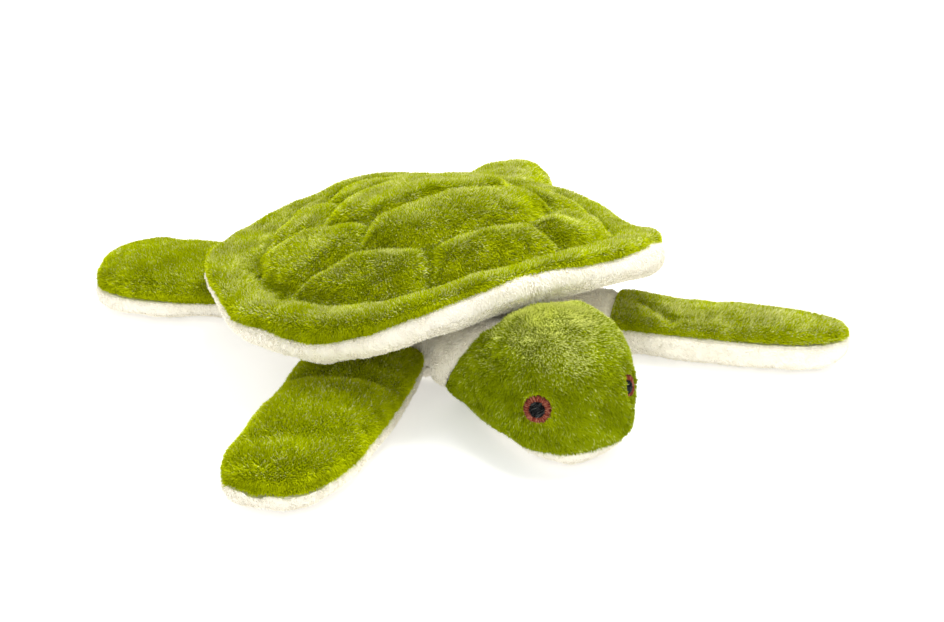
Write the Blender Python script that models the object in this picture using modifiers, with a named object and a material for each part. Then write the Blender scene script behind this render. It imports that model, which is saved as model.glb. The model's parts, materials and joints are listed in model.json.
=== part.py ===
"""Plush sea turtle, a stuffed toy that lies on its belly with its flippers spread.

Metres, +Z up. The turtle faces -Y and its own left side is +X. The origin is the
centre of the belly's flat face, on the surface that the toy lies on.

Every stuffed form is a coarse closed cage under Subdivision Surface. Its cloth is
the form less the same form drawn in by the cloth's thickness, parted along the
seam, and its stuffing is the form drawn in once more by the gap between pieces.
"""
import math

import bmesh
import bpy
import numpy
from mathutils import Euler, Vector

MM = 0.001

# Cloth and clearances
CLOTH = 4.0 * MM            # plush cloth, backing and pile together
GAP = 0.3 * MM              # between any two pieces of cloth
FILL_GAP = 0.6 * MM         # between the cloth and its filling, which meet unevenly
FLAT = 0.5 * MM             # depth of the flat that lies on the floor
OVERRUN = 20.0 * MM         # how far a cutter passes the piece it cuts
REACH = 500.0 * MM          # half side of a cutter that stands for a half space
CURVE_STEPS = 12            # points read from each span of a smooth curve

# Shell, a quilted cushion
SHELL_HALF_WIDTH = 128.0 * MM
SHELL_HALF_LENGTH = 124.0 * MM
SHELL_CENTRE_Y = -1.0 * MM
SHELL_SEAM_HEIGHT = 50.0 * MM       # rim seam above the floor, at the sides
SHELL_DOME_RISE = 46.0 * MM         # crown above the rim seam
SHELL_CROWN_Y = -22.0 * MM          # place of the crown
SHELL_FRONT_LIFT = 31.0 * MM        # how far the neck lifts the front of the rim
SHELL_LIFT_RUN = 80.0 * MM          # length over which the front rises
LIFT_POWER = 1.3                    # how the front's rise curves
SHELL_SIDE_LIFT = 14.0 * MM         # how far the left fore corner is turned up
SHELL_SIDE_RUN = 50.0 * MM          # length over which it turns up
SHELL_BACK_DROP = 7.5 * MM          # how far the back of the rim sags
SHELL_FLANK_SAG = 8.0 * MM          # how far the top lies lower along both flanks
SHELL_ROLL_DROP = 15.5 * MM         # lowest point of the pale roll below the seam
SHELL_ROLL_BULGE = 2.0 * MM         # how far the roll stands out past the seam
SHELL_BELLY_DROP = 12.0 * MM        # flat middle of the underside below the seam
QUILT_CHANNEL_DEPTH = 4.2 * MM
QUILT_CHANNEL_HALF_WIDTH = 4.5 * MM
QUILT_PUFF = 4.0 * MM
QUILT_PUFF_RUN = 14.0 * MM
PADDING_DEPTH = 6.7 * MM            # filling below the unsewn dome, clear of the channels
PADDING_GAP = 1.0 * MM              # between the filling and the cloth, wider at the roll

# Body under the shell
BODY_HALF_WIDTH = 86.0 * MM
BODY_FRONT = 74.0 * MM              # chest, forward of the origin
BODY_BACK = 112.0 * MM
BODY_SEAM_HEIGHT = 9.0 * MM
BODY_CAGE_TOP = 78.0 * MM           # the cage rises past the shell's underside

# Head
HEAD_HALF_WIDTH = 43.0 * MM
HEAD_HEIGHT = 80.0 * MM
HEAD_LENGTH = 127.0 * MM            # neck end to snout
HEAD_SNOUT_Y = -198.0 * MM
CHIN_SEAM_HEIGHT = 11.5 * MM        # seam between head and chin, under the snout
CHIN_SEAM_SLOPE = math.radians(4.5)  # its fall towards the neck
NECK_AXIS_Y = -99.0 * MM
NECK_AXIS_HEIGHT = 30.0 * MM
NECK_RADIUS = 30.0 * MM
NECK_SEAM_TOP_Y = -121.0 * MM       # seam between head and neck, at its top
NECK_SEAM_FOOT_Y = -86.0 * MM       # and at the floor
NECK_SEAM_RISE = 60.0 * MM          # height between the two
NOD_CLEARANCE = 2.0 * MM            # room between the head and the shell's rim

# Embroidered eyes
EYE_SIDE = 29.4 * MM
EYE_Y = -178.6 * MM
EYE_HEIGHT = 38.3 * MM
EYE_RADIUS = 7.9 * MM
PUPIL_RADIUS = 4.5 * MM
EYE_THICKNESS = 1.6 * MM
EYE_POCKET = 1.3 * MM               # how deep the stitching lies in the pile
EYE_TURN = math.radians(42.0)       # how far each eye looks to its side
EYE_TILT = math.radians(15.0)       # and how far up

# Front flippers, which lie differently: the left one is gathered and turned up a little
FRONT_LENGTH = {"right": 147.0 * MM, "left": 168.0 * MM}    # root axis to tip
FRONT_HALF_WIDTH = {"right": 38.0 * MM, "left": 27.0 * MM}
FRONT_SEAM_RISE = {"right": 0.0 * MM, "left": 5.0 * MM}     # seam above the hinge
FRONT_HALF_THICKNESS = 15.0 * MM
FRONT_ROOT_SIDE = {"right": 64.5 * MM, "left": 67.0 * MM}
FRONT_ROOT_Y = -48.0 * MM
FRONT_SWEEP = {"right": math.radians(44.8), "left": math.radians(48.0)}

# Rear flippers
REAR_LENGTH = {"right": 114.0 * MM, "left": 130.0 * MM}
REAR_HALF_WIDTH = {"right": 46.0 * MM, "left": 42.0 * MM}
REAR_SEAM_RISE = {"right": 2.0 * MM, "left": 2.0 * MM}
REAR_HALF_THICKNESS = 14.5 * MM
REAR_ROOT_SIDE = {"right": 70.0 * MM, "left": 70.0 * MM}
REAR_ROOT_Y = 75.0 * MM
REAR_SWEEP = {"right": math.radians(129.0), "left": math.radians(139.0)}

# Outline of the shell's rim from front middle to back middle, on the turtle's left:
# shares of the half width and of the half length
shell_outline_shares = (
    (0.00, -1.00), (0.24, -0.99), (0.47, -0.95), (0.66, -0.87), (0.80, -0.76),
    (0.92, -0.57), (0.985, -0.33), (1.00, -0.05), (0.975, 0.24), (0.90, 0.50),
    (0.75, 0.72), (0.53, 0.88), (0.27, 0.97), (0.00, 1.00),
)
RIM_POINTS = 28

# Rings of the shell from the quilting seam to the rim seam: share of the outline
# and share of the dome's rise
band_shares = ((0.88, 0.20), (0.94, 0.18), (0.982, 0.10))
quilt_ring_share = 0.82
quilt_ring_setback_share = 0.09     # how much further in the ring lies at the front
quilt_ring_rise_share = 0.21
flank_start_share = -0.5            # where the flanks begin to sag, of the half length
flank_run_share = 0.5               # and the length over which they reach it
inner_channel_share = 1.2           # second row of a channel's points
inside_ring_share = quilt_ring_share * 1.02
# Powers of the dome's fall from crown to ring, at the front and at the back
DOME_POWER_FRONT = 2.5
DOME_POWER_BACK = 1.25
# Rings of the pale roll below the rim seam: share of the outline, share of the
# roll's bulge and share of its drop
roll_shares = ((1.0, 1.0, 0.40), (0.985, 0.0, 0.85), (0.93, 0.0, 1.0))
belly_ring_share = 0.82
seam_cutter_share = 0.60            # inner edge of the cutter that parts the rim seam
# Rings of the shell's filling: share of the outline and of the dome's rise in the
# band, and shares of the quilting ring over the dome
padding_band_shares = (0.93, 0.08)
padding_dome_shares = (1.0, 0.68, 0.31)

# Corners of the quilting on the turtle's left: shares of the half width and length
quilt_corner_shares = {
    "first": (0.25, -0.50), "second": (0.50, -0.29), "third": (0.36, -0.15),
    "fourth": (0.49, 0.12), "fifth": (0.26, 0.34), "sixth": (0.36, 0.50),
    "seventh": (0.17, 0.60),
}
cross_seams = ("first", "third", "fifth", "seventh")    # run from side to side
# Where seams end on the quilting ring, as shares of the way round from the front middle
ring_end_shares = {"front": 0.07, "fore": 0.21, "middle": 0.32, "aft": 0.39, "back": 0.46}

# Body outline from chest to back, on the turtle's left: share of the half width,
# and share of the front or back reach
body_outline_shares = (
    (0.00, -1.00), (0.34, -0.96), (0.62, -0.70), (0.90, -0.20), (1.00, 0.25),
    (0.92, 0.62), (0.62, 0.88), (0.28, 1.00), (0.00, 1.02),
)
BODY_POINTS = 12
# Rings of the body: share of the outline and of the seam's height
body_ring_shares = ((0.72, -0.15), (0.93, 0.10), (1.0, 1.0), (1.02, 2.6))

# Stations along a flipper: share of its length, shares of its half width to the
# front edge and to the back edge, share of its half thickness
front_station_shares = (
    (0.00, 1.00, 0.92, 1.00), (0.38, 1.04, 0.88, 1.00), (0.72, 1.02, 0.93, 0.96),
    (0.89, 0.66, 0.84, 0.84), (0.98, 0.18, 0.55, 0.58),
)
rear_station_shares = (
    (0.00, 0.80, 0.80, 0.92), (0.36, 1.00, 0.98, 0.93), (0.74, 1.00, 0.98, 1.06),
    (0.96, 0.60, 0.60, 0.74),
)
# The rounded root of a flipper: share of the root radius back from the hinge, of
# the width and of the half thickness there
root_shares = ((1.00, 0.80, 0.24), (0.78, 0.92, 0.62))
# Section of a flipper: share of the width across and of the half thickness up
flipper_section_shares = (
    (1.0, 0.14), (0.72, 0.90), (0.0, 1.06), (-0.72, 0.90),
    (-1.0, 0.14), (-0.90, -1.10), (0.90, -1.10),
)
filling_section_shares = (
    (1.0, 0.0), (0.55, 0.95), (-0.55, 0.95), (-1.0, 0.0), (-0.60, -1.0), (0.60, -1.0),
)

# Stations of the head from the neck end to the snout: share of the length, of the
# half width, and of the height at the top and at the bottom
head_station_shares = (
    (-0.02, 0.78, 0.46, 0.28), (0.09, 1.10, 0.66, 0.05), (0.24, 0.98, 0.74, -0.01),
    (0.44, 1.02, 0.92, -0.03), (0.64, 1.04, 1.02, -0.03), (0.82, 0.87, 0.88, -0.01),
    (0.95, 0.50, 0.56, 0.06),
)
head_section_shares = (
    (1.0, 0.42), (0.83, 0.84), (0.0, 1.02), (-0.83, 0.84),
    (-1.0, 0.42), (-0.76, 0.04), (0.0, -0.02), (0.76, 0.04),
)

SHELL_GREEN = (0.20, 0.32, 0.012)
HEAD_GREEN = (0.21, 0.34, 0.014)
CREAM = (0.86, 0.79, 0.63)
FIBRE = (0.85, 0.85, 0.83)
IRIS_BROWN = (0.24, 0.045, 0.025)
PUPIL_BLACK = (0.006, 0.006, 0.007)


def clear_scene():
    """Remove whatever the file holds, so that the script can run twice."""
    for thing in list(bpy.data.objects):
        bpy.data.objects.remove(thing, do_unlink=True)
    for group in list(bpy.data.collections):
        bpy.data.collections.remove(group)


def new_collection(name):
    group = bpy.data.collections.new(name)
    bpy.context.scene.collection.children.link(group)
    return group


def new_material(name, colour, roughness):
    material = bpy.data.materials.new(name)
    material.use_nodes = True
    shader = material.node_tree.nodes["Principled BSDF"]
    shader.inputs["Base Color"].default_value = (*colour, 1.0)
    shader.inputs["Roughness"].default_value = roughness
    shader.inputs["Metallic"].default_value = 0.0
    material.diffuse_color = (*colour, 1.0)
    return material


def new_object(name, mesh, group, parent=None):
    thing = bpy.data.objects.new(name, mesh)
    group.objects.link(thing)
    thing.parent = parent
    return thing


def mesh_from(bm, name):
    bmesh.ops.recalc_face_normals(bm, faces=bm.faces)
    mesh = bpy.data.meshes.new(name)
    bm.to_mesh(mesh)
    bm.free()
    mesh.shade_smooth()
    return mesh


def smooth_loop(points, count):
    """Evenly spaced points on a closed smooth curve through the given points."""
    fine = []
    total = len(points)
    for index in range(total):
        before, start, end, after = (points[(index + k) % total] for k in (-1, 0, 1, 2))
        for step in range(CURVE_STEPS):
            t = step / CURVE_STEPS
            fine.append(tuple(
                0.5 * (2 * b + (c - a) * t + (2 * a - 5 * b + 4 * c - d) * t ** 2
                       + (3 * b - a - 3 * c + d) * t ** 3)
                for a, b, c, d in zip(before, start, end, after)))
    closed = numpy.array(fine + fine[:1])
    along = numpy.concatenate(
        ([0.0], numpy.cumsum(numpy.linalg.norm(numpy.diff(closed, axis=0), axis=1))))
    places = numpy.linspace(0.0, along[-1], count, endpoint=False)
    return [(float(numpy.interp(place, along, closed[:, 0])),
             float(numpy.interp(place, along, closed[:, 1]))) for place in places]


def mirrored(half):
    """A whole outline from one half that runs from front middle to back middle."""
    return list(half) + [(-x, y) for x, y in reversed(half[1:-1])]


def loft(rings, name, poked=False):
    """A closed skin over a row of rings that have the same number of points."""
    bm = bmesh.new()
    loops = [[bm.verts.new(point) for point in ring] for ring in rings]
    for near, far in zip(loops, loops[1:]):
        for index in range(len(near)):
            after = (index + 1) % len(near)
            bm.faces.new((near[index], near[after], far[after], far[index]))
    ends = [bm.faces.new(loops[0]), bm.faces.new(loops[-1])]
    if poked:
        bmesh.ops.poke(bm, faces=ends)
    return mesh_from(bm, name)


def subdivide(thing, levels):
    modifier = thing.modifiers.new("smooth form", "SUBSURF")
    modifier.levels = levels
    modifier.render_levels = levels


def draw_in(thing, distance):
    """Offset a closed form inwards, or outwards where the distance is negative."""
    modifier = thing.modifiers.new("draw in", "DISPLACE")
    modifier.direction = "NORMAL"
    modifier.mid_level = 0.0
    modifier.strength = -distance


def cut(thing, cutter, solver="EXACT"):
    modifier = thing.modifiers.new("cut by " + cutter.name, "BOOLEAN")
    modifier.operation = "DIFFERENCE"
    modifier.solver = solver
    modifier.object = cutter


def hide_cutter(thing):
    thing.hide_render = True
    thing.display_type = "WIRE"
    return thing


class Toy:
    """The collections, and the forms that the pieces are cut from."""

    def __init__(self):
        self.parts = new_collection("plush_turtle")
        self.cutters = new_collection("cutters")

    def empty(self, name, location, turn):
        thing = new_object(name, None, self.cutters)
        thing.location = location
        thing.rotation_euler = turn
        return thing

    def box(self, name, low, high, parent=None):
        """A cutter box between two corners of its parent's frame."""
        bm = bmesh.new()
        bmesh.ops.create_cube(bm, size=1.0)
        size = Vector(high) - Vector(low)
        middle = (Vector(high) + Vector(low)) / 2
        bmesh.ops.scale(bm, vec=size, verts=bm.verts)
        bmesh.ops.translate(bm, vec=middle, verts=bm.verts)
        mesh = mesh_from(bm, name)
        for polygon in mesh.polygons:
            polygon.use_smooth = False
        return hide_cutter(new_object(name, mesh, self.cutters, parent))

    def floor(self, height, parent=None):
        return self.box(f"floor_{height / MM:.1f}", (-REACH, -REACH, -REACH),
                        (REACH, REACH, height), parent)

    def form(self, name, mesh, group, parent, inset, cuts, levels=1, solver="EXACT"):
        """A stuffed form drawn in by inset, less its cutters."""
        thing = new_object(name, mesh, group, parent)
        if levels:
            subdivide(thing, levels)
        if inset:
            draw_in(thing, inset)
        for cutter in cuts:
            cut(thing, cutter, solver)
        return thing

    def core(self, name, mesh, parent, inset, cuts, levels=1, solver="EXACT"):
        return hide_cutter(self.form(name, mesh, self.cutters, parent, inset, cuts, levels,
                                     solver))


def dress(thing, material):
    thing.data = thing.data.copy()
    thing.data.name = thing.name
    thing.data.materials.clear()
    thing.data.materials.append(material)


# Shell

def rim_seam_height(x, y):
    """Height of the rim seam's surface over a point of the plan."""
    run = SHELL_LIFT_RUN - SHELL_HALF_LENGTH - y + SHELL_CENTRE_Y
    across = 1.0 - min(1.0, (x / SHELL_HALF_WIDTH) ** 2)
    lift = SHELL_FRONT_LIFT * max(0.0, run / SHELL_LIFT_RUN) ** LIFT_POWER * across
    turned = max(0.0, min(1.0, run / SHELL_SIDE_RUN))
    corner = SHELL_SIDE_LIFT * max(0.0, x / SHELL_HALF_WIDTH) * turned
    drop = SHELL_BACK_DROP * max(0.0, (y - SHELL_CENTRE_Y) / SHELL_HALF_LENGTH)
    return SHELL_SEAM_HEIGHT + lift + corner - drop


def flank_sag(x, y):
    """How much lower the quilted top lies over a point of the plan."""
    along = (y - SHELL_CENTRE_Y) / SHELL_HALF_LENGTH
    reached = max(0.0, min(1.0, (along - flank_start_share) / flank_run_share))
    return SHELL_FLANK_SAG * min(1.0, (x / SHELL_HALF_WIDTH) ** 2) * reached


def rim_outline(count):
    return smooth_loop(mirrored(shell_outline_shares), count)


def shell_ring(outline, share, rise_share=0.0, drop=0.0, bulge=0.0):
    """A ring of the shell: the outline scaled by share, raised or dropped from the seam."""
    ring = []
    for x_share, y_share in outline:
        out = Vector((x_share, y_share)).normalized() * bulge
        x = x_share * share * SHELL_HALF_WIDTH + out.x
        y = y_share * share * SHELL_HALF_LENGTH + out.y + SHELL_CENTRE_Y
        sag = flank_sag(x, y) * min(1.0, rise_share / quilt_ring_rise_share)
        ring.append((x, y, rim_seam_height(x, y) + rise_share * SHELL_DOME_RISE - sag - drop))
    return ring


def quilt_ring(outline):
    """The ring seam that the quilting runs to, which lies further in at the front."""
    ring = []
    for x_share, y_share in outline:
        share = quilt_ring_share - quilt_ring_setback_share * max(0.0, -y_share) ** 2
        ring += shell_ring([(x_share, y_share)], share, quilt_ring_rise_share)
    return ring


def dome_height(x, y):
    """Height of the quilted top inside its ring, before the channels are sewn."""
    forward = SHELL_CENTRE_Y - SHELL_CROWN_Y
    x_share = x / (quilt_ring_share * SHELL_HALF_WIDTH)
    back_of_crown = y - SHELL_CROWN_Y
    setback_share = quilt_ring_setback_share if back_of_crown < 0 else 0.0
    ring_reach = (quilt_ring_share - setback_share) * SHELL_HALF_LENGTH
    y_share = back_of_crown / (ring_reach + math.copysign(forward, back_of_crown))
    away = math.hypot(x_share, y_share)
    back = 0.5 + 0.5 * y_share / away if away else 0.5
    power = DOME_POWER_FRONT * (1.0 - back) + DOME_POWER_BACK * back
    fall = min(1.0, away) ** power
    rise = quilt_ring_rise_share + (1.0 - quilt_ring_rise_share) * (1.0 - fall)
    return rim_seam_height(x, y) + SHELL_DOME_RISE * rise - flank_sag(x, y)


def distance_to_seam(point, seams):
    nearest = REACH
    for start, end in seams:
        along = end - start
        share = (point - start).dot(along) / along.length_squared
        nearest = min(nearest, (point - start - along * max(0.0, min(1.0, share))).length)
    return nearest


def quilt_scutes(bm, ring):
    """The quilted plates inside the ring: their faces, and their sewn lines in plan."""
    corners = {}
    for name, (x_share, y_share) in quilt_corner_shares.items():
        for side in (1, 0, -1):
            x = side * x_share * SHELL_HALF_WIDTH
            y = y_share * SHELL_HALF_LENGTH + SHELL_CENTRE_Y
            if side or name in cross_seams:
                corners[name, side] = bm.verts.new((x, y, dome_height(x, y)))

    def arc(first, last):
        return [ring[index % RIM_POINTS] for index in range(first, last + 1)]

    def pair(*names):
        """A plate's corners on both sides, joined across at its last and first ones."""
        loop = [corners[name, 1] for name in names] + [corners[names[-1], 0]]
        loop += [corners[name, -1] for name in reversed(names)]
        return loop + [corners[names[0], 0]] if len(names) > 1 else loop

    front, fore, middle, aft, back = (
        round(share * RIM_POINTS) for share in ring_end_shares.values())
    plates = [
        arc(-front, front) + pair("first"),
        pair("first", "second", "third"),
        pair("third", "fourth", "fifth"),
        pair("fifth", "sixth", "seventh"),
        arc(back, RIM_POINTS - back) + pair("seventh")[::-1],
    ]
    sides = ((front, fore, ("second", "first")),
             (fore, middle, ("fourth", "third", "second")),
             (middle, aft, ("sixth", "fifth", "fourth")),
             (aft, back, ("seventh", "sixth")))
    for first, last, names in sides:
        plates.append(arc(first, last) + [corners[name, 1] for name in names])
        plates.append(arc(-last, -first)[::-1] + [corners[name, -1] for name in names])
    faces = [bm.faces.new(plate) for plate in plates]
    seams = [(Vector(edge.verts[0].co.xy), Vector(edge.verts[1].co.xy))
             for edge in {edge for face in faces for edge in face.edges}]
    return faces, seams


def sew_channels(bm, plates):
    """Give each plate the rows of points that its sewn edges are sunk with."""
    bmesh.ops.recalc_face_normals(bm, faces=plates)
    for inset in (QUILT_CHANNEL_HALF_WIDTH, QUILT_CHANNEL_HALF_WIDTH * inner_channel_share):
        bmesh.ops.inset_individual(bm, faces=plates, thickness=inset, use_even_offset=True)
    bmesh.ops.triangulate(bm, faces=plates)


def settle_top(bm, seams):
    """Set the height of every point of the top from its distance to the sewn lines."""
    for vertex in bm.verts:
        x, y, z = vertex.co
        if z < rim_seam_height(x, y):
            continue
        spread = math.hypot(x / SHELL_HALF_WIDTH, (y - SHELL_CENTRE_Y) / SHELL_HALF_LENGTH)
        away = distance_to_seam(vertex.co.xy, seams)
        channel = QUILT_CHANNEL_DEPTH * math.exp(-(away / QUILT_CHANNEL_HALF_WIDTH) ** 2)
        puff = QUILT_PUFF * (1.0 - math.exp(-away / QUILT_PUFF_RUN))
        if spread < inside_ring_share:
            vertex.co.z = dome_height(x, y) + puff - channel


def underside_rings(outline, bulged=True):
    """The rings of the pale roll and of the flat underside."""
    rings = [shell_ring(outline, share, drop=SHELL_ROLL_DROP * drop,
                        bulge=SHELL_ROLL_BULGE * bulge if bulged else 0.0)
             for share, bulge, drop in roll_shares]
    rings.append(shell_ring(outline, belly_ring_share, drop=SHELL_BELLY_DROP))
    return rings


def shell_mesh():
    """The quilted cushion of the shell as one closed skin."""
    outline = rim_outline(RIM_POINTS)
    bm = bmesh.new()
    rings = [quilt_ring(outline)]
    rings += [shell_ring(outline, share, rise) for share, rise in band_shares]
    rings += [shell_ring(outline, 1.0)]
    rings += underside_rings(outline)
    loops = [[bm.verts.new(point) for point in ring] for ring in rings]
    for near, far in zip(loops, loops[1:]):
        for index in range(RIM_POINTS):
            after = (index + 1) % RIM_POINTS
            bm.faces.new((near[index], near[after], far[after], far[index]))
    bottom = bm.faces.new(loops[-1])
    bmesh.ops.poke(bm, faces=[bottom])
    faces, seams = quilt_scutes(bm, loops[0])
    sew_channels(bm, faces)
    settle_top(bm, seams)
    return mesh_from(bm, "shell_form")


def dress_shell(toy, green, cream, fibre):
    form = shell_mesh()
    above = seam_cutter(toy, "above_rim_seam", 1.0)
    below = seam_cutter(toy, "below_rim_seam", -1.0)
    core = toy.core("shell_core", form, None, CLOTH, (), levels=0)
    top = toy.form("shell_top_panel", form, toy.parts, None, 0.0, (core, below), levels=0)
    under = toy.form("shell_underside", form, toy.parts, None, 0.0, (core, above), levels=0)
    dress(top, green)
    dress(under, cream)
    dress(toy.form("shell_padding", padding_mesh(), toy.parts, None, CLOTH + PADDING_GAP, (),
                   levels=0), fibre)


def seam_cutter(toy, name, side):
    """A cutter that holds all above (side 1) or below (side -1) the rim seam."""
    outline = rim_outline(RIM_POINTS)
    rim = shell_ring(outline, 1.0)
    past = [(x, y, z) for (x, y, _), (_, _, z) in
            zip(shell_ring(outline, 1.0, bulge=OVERRUN), rim)]
    rings = [[(x, y, z - side * GAP / 2) for x, y, z in ring]
             for ring in (shell_ring(outline, seam_cutter_share), rim, past)]
    rings.append([(x, y, side * REACH) for x, y, z in past])
    return hide_cutter(new_object(name, loft(rings, name, poked=True), toy.cutters))


def shell_room(toy, label, clearance):
    """A cutter for what lies under the shell: its underside, with a high flat top."""
    outline = rim_outline(RIM_POINTS)
    rings = underside_rings(outline)[::-1]
    rings.append([(x, y, REACH) for x, y, z in rings[-1]])
    name = f"shell_room_over_{label}"
    return toy.core(name, loft(rings, name, poked=True), None, -clearance, (), levels=0)


def padding_mesh():
    """The shell's filling: the cushion without its sewing, kept under the channels."""
    outline = rim_outline(RIM_POINTS)
    rings = underside_rings(outline, bulged=False)[::-1]
    rings.append(shell_ring(outline, *padding_band_shares))
    for share in padding_dome_shares:
        ring = [(x * share, SHELL_CENTRE_Y + (y - SHELL_CENTRE_Y) * share)
                for x, y, z in quilt_ring(outline)]
        rings.append([(x, y, dome_height(x, y) - PADDING_DEPTH) for x, y in ring])
    return loft(rings, "padding_form", poked=True)


# Flippers

class Limb:
    """A flipper's sizes, and its frame: +X out along it, +Y across, +Z up."""

    def __init__(self, kind, side):
        front = kind == "front"
        self.name = f"{kind}_flipper_{side}"
        self.hand = 1.0 if side == "right" else -1.0
        self.length = (FRONT_LENGTH if front else REAR_LENGTH)[side]
        self.width = (FRONT_HALF_WIDTH if front else REAR_HALF_WIDTH)[side]
        self.seam = (FRONT_SEAM_RISE if front else REAR_SEAM_RISE)[side]
        self.radius = FRONT_HALF_THICKNESS if front else REAR_HALF_THICKNESS
        self.stations = front_station_shares if front else rear_station_shares
        sweep = (FRONT_SWEEP if front else REAR_SWEEP)[side]
        root_side = (FRONT_ROOT_SIDE if front else REAR_ROOT_SIDE)[side]
        self.root = Vector((-self.hand * root_side, FRONT_ROOT_Y if front else REAR_ROOT_Y,
                            self.radius - FLAT))
        self.heading = -math.pi / 2 - self.hand * sweep

    def mesh(self, stations, section):
        rings = []
        for back_share, wide, thick in root_shares:
            rings.append(self.ring(-back_share * self.radius, wide * stations[0][1],
                                   wide * stations[0][2], thick, section))
        for along, front, back, thick in stations:
            rings.append(self.ring(along * self.length, front, back, thick, section))
        return loft(rings, self.name + "_form")

    def ring(self, along, front, back, thick, section):
        ring = []
        for across, up in section:
            share = front if across > 0 else back
            ring.append((along, self.hand * across * share * self.width,
                         up * thick * self.radius))
        return ring


def dress_flipper(toy, limb, green, cream, fibre):
    """A flipper on its hinge: a top, an underside and its filling."""
    hinge = toy.empty(limb.name + "_hinge", limb.root, (0.0, 0.0, limb.heading))
    form = limb.mesh(limb.stations, flipper_section_shares)
    ground = FLAT - limb.radius
    cloth_floor = toy.floor(ground, hinge)
    core_floor = toy.floor(ground + CLOTH, hinge)
    fill_floor = toy.floor(ground + CLOTH + FILL_GAP, hinge)
    above = toy.box(limb.name + "_above_seam", (-REACH, -REACH, limb.seam - GAP / 2),
                    (REACH, REACH, REACH), hinge)
    below = toy.box(limb.name + "_below_seam", (-REACH, -REACH, -REACH),
                    (REACH, REACH, limb.seam + GAP / 2), hinge)
    core = toy.core(limb.name + "_core", form, hinge, CLOTH, (core_floor,))
    dress(toy.form(limb.name + "_top", form, toy.parts, hinge, 0.0, (core, below)), green)
    dress(toy.form(limb.name + "_underside", form, toy.parts, hinge, 0.0,
                   (core, above, cloth_floor)), cream)
    filling = limb.mesh(limb.stations[::2], filling_section_shares)
    dress(toy.form(limb.name + "_stuffing", filling, toy.parts, hinge, CLOTH + FILL_GAP,
                   (fill_floor,)), fibre)


def wall_cutter(toy, name, root, heading, radius, inset):
    """A half space that keeps the body clear of a limb's rounded root."""
    frame = toy.empty(name + "_frame", root, (0.0, 0.0, heading))
    return toy.box(name, (-radius - GAP - inset, -REACH, -REACH), (REACH, REACH, REACH),
                   frame)


# Body

def body_mesh():
    outline = smooth_loop(mirrored(body_outline_shares), BODY_POINTS)

    def ring(share, height):
        points = []
        for x_share, y_share in outline:
            reach = BODY_FRONT if y_share < 0 else BODY_BACK
            points.append((x_share * share * BODY_HALF_WIDTH, y_share * share * reach, height))
        return points

    rings = [ring(share, BODY_SEAM_HEIGHT * height) for share, height in body_ring_shares]
    rings.append(ring(1.0, BODY_CAGE_TOP))
    return loft(rings, "body_form")


def dress_body(toy, limbs, cream, fibre):
    """The bag of the body, cut where the limbs and the shell are sewn to it.

    The exact solver loses this form at the walls, so its cuts use the manifold one.
    """
    form = body_mesh()
    above = toy.box("above_belly_seam", (-REACH, -REACH, BODY_SEAM_HEIGHT - GAP / 2),
                    (REACH, REACH, REACH))
    below = toy.box("below_belly_seam", (-REACH, -REACH, -REACH),
                    (REACH, REACH, BODY_SEAM_HEIGHT + GAP / 2))

    def cuts(label, inset):
        walls = [wall_cutter(toy, f"{limb.name}_{label}_wall", limb.root, limb.heading,
                             limb.radius, inset) for limb in limbs]
        walls.append(wall_cutter(toy, f"neck_{label}_wall", (0.0, NECK_AXIS_Y, 0.0),
                                 -math.pi / 2, NECK_RADIUS, inset))
        return (*walls, shell_room(toy, label, GAP + inset), toy.floor(inset))

    def piece(name, group, inset, cutters):
        return toy.form(name, form, group, None, inset, cutters, solver="MANIFOLD")

    outer = cuts("cloth", 0.0)
    core = hide_cutter(piece("body_core", toy.cutters, CLOTH, cuts("core", CLOTH)))
    dress(piece("body_cover", toy.parts, 0.0, (*outer, core, below)), cream)
    dress(piece("belly_panel", toy.parts, 0.0, (*outer, core, above)), cream)
    drawn = CLOTH + FILL_GAP
    dress(piece("body_stuffing", toy.parts, drawn, cuts("fill", drawn)), fibre)


# Head

def head_mesh():
    """The head's form in its hinge's frame, which is level with the toy's."""
    rings = []
    neck_end = HEAD_SNOUT_Y + HEAD_LENGTH
    for along, wide, top, bottom in head_station_shares:
        y = neck_end - along * HEAD_LENGTH - NECK_AXIS_Y
        low = bottom * HEAD_HEIGHT
        high = top * HEAD_HEIGHT
        rings.append([(x * wide * HEAD_HALF_WIDTH, y, low + z * (high - low) - NECK_AXIS_HEIGHT)
                      for x, z in head_section_shares])
    return loft(rings, "head_form")


def neck_seam_box(toy, name, hinge, side):
    """A cutter that holds all in front (side 1) or behind (side -1) the neck seam."""
    lean = math.atan2(NECK_SEAM_FOOT_Y - NECK_SEAM_TOP_Y, NECK_SEAM_RISE)
    middle = (NECK_SEAM_TOP_Y + NECK_SEAM_FOOT_Y) / 2
    frame = toy.empty(name + "_frame", (0.0, middle - NECK_AXIS_Y, 0.0), (lean, 0.0, 0.0))
    frame.parent = hinge
    near, far = sorted((side * -REACH, -side * -GAP / 2))
    return toy.box(name, (-REACH, near, -REACH), (REACH, far, REACH), frame)


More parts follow.
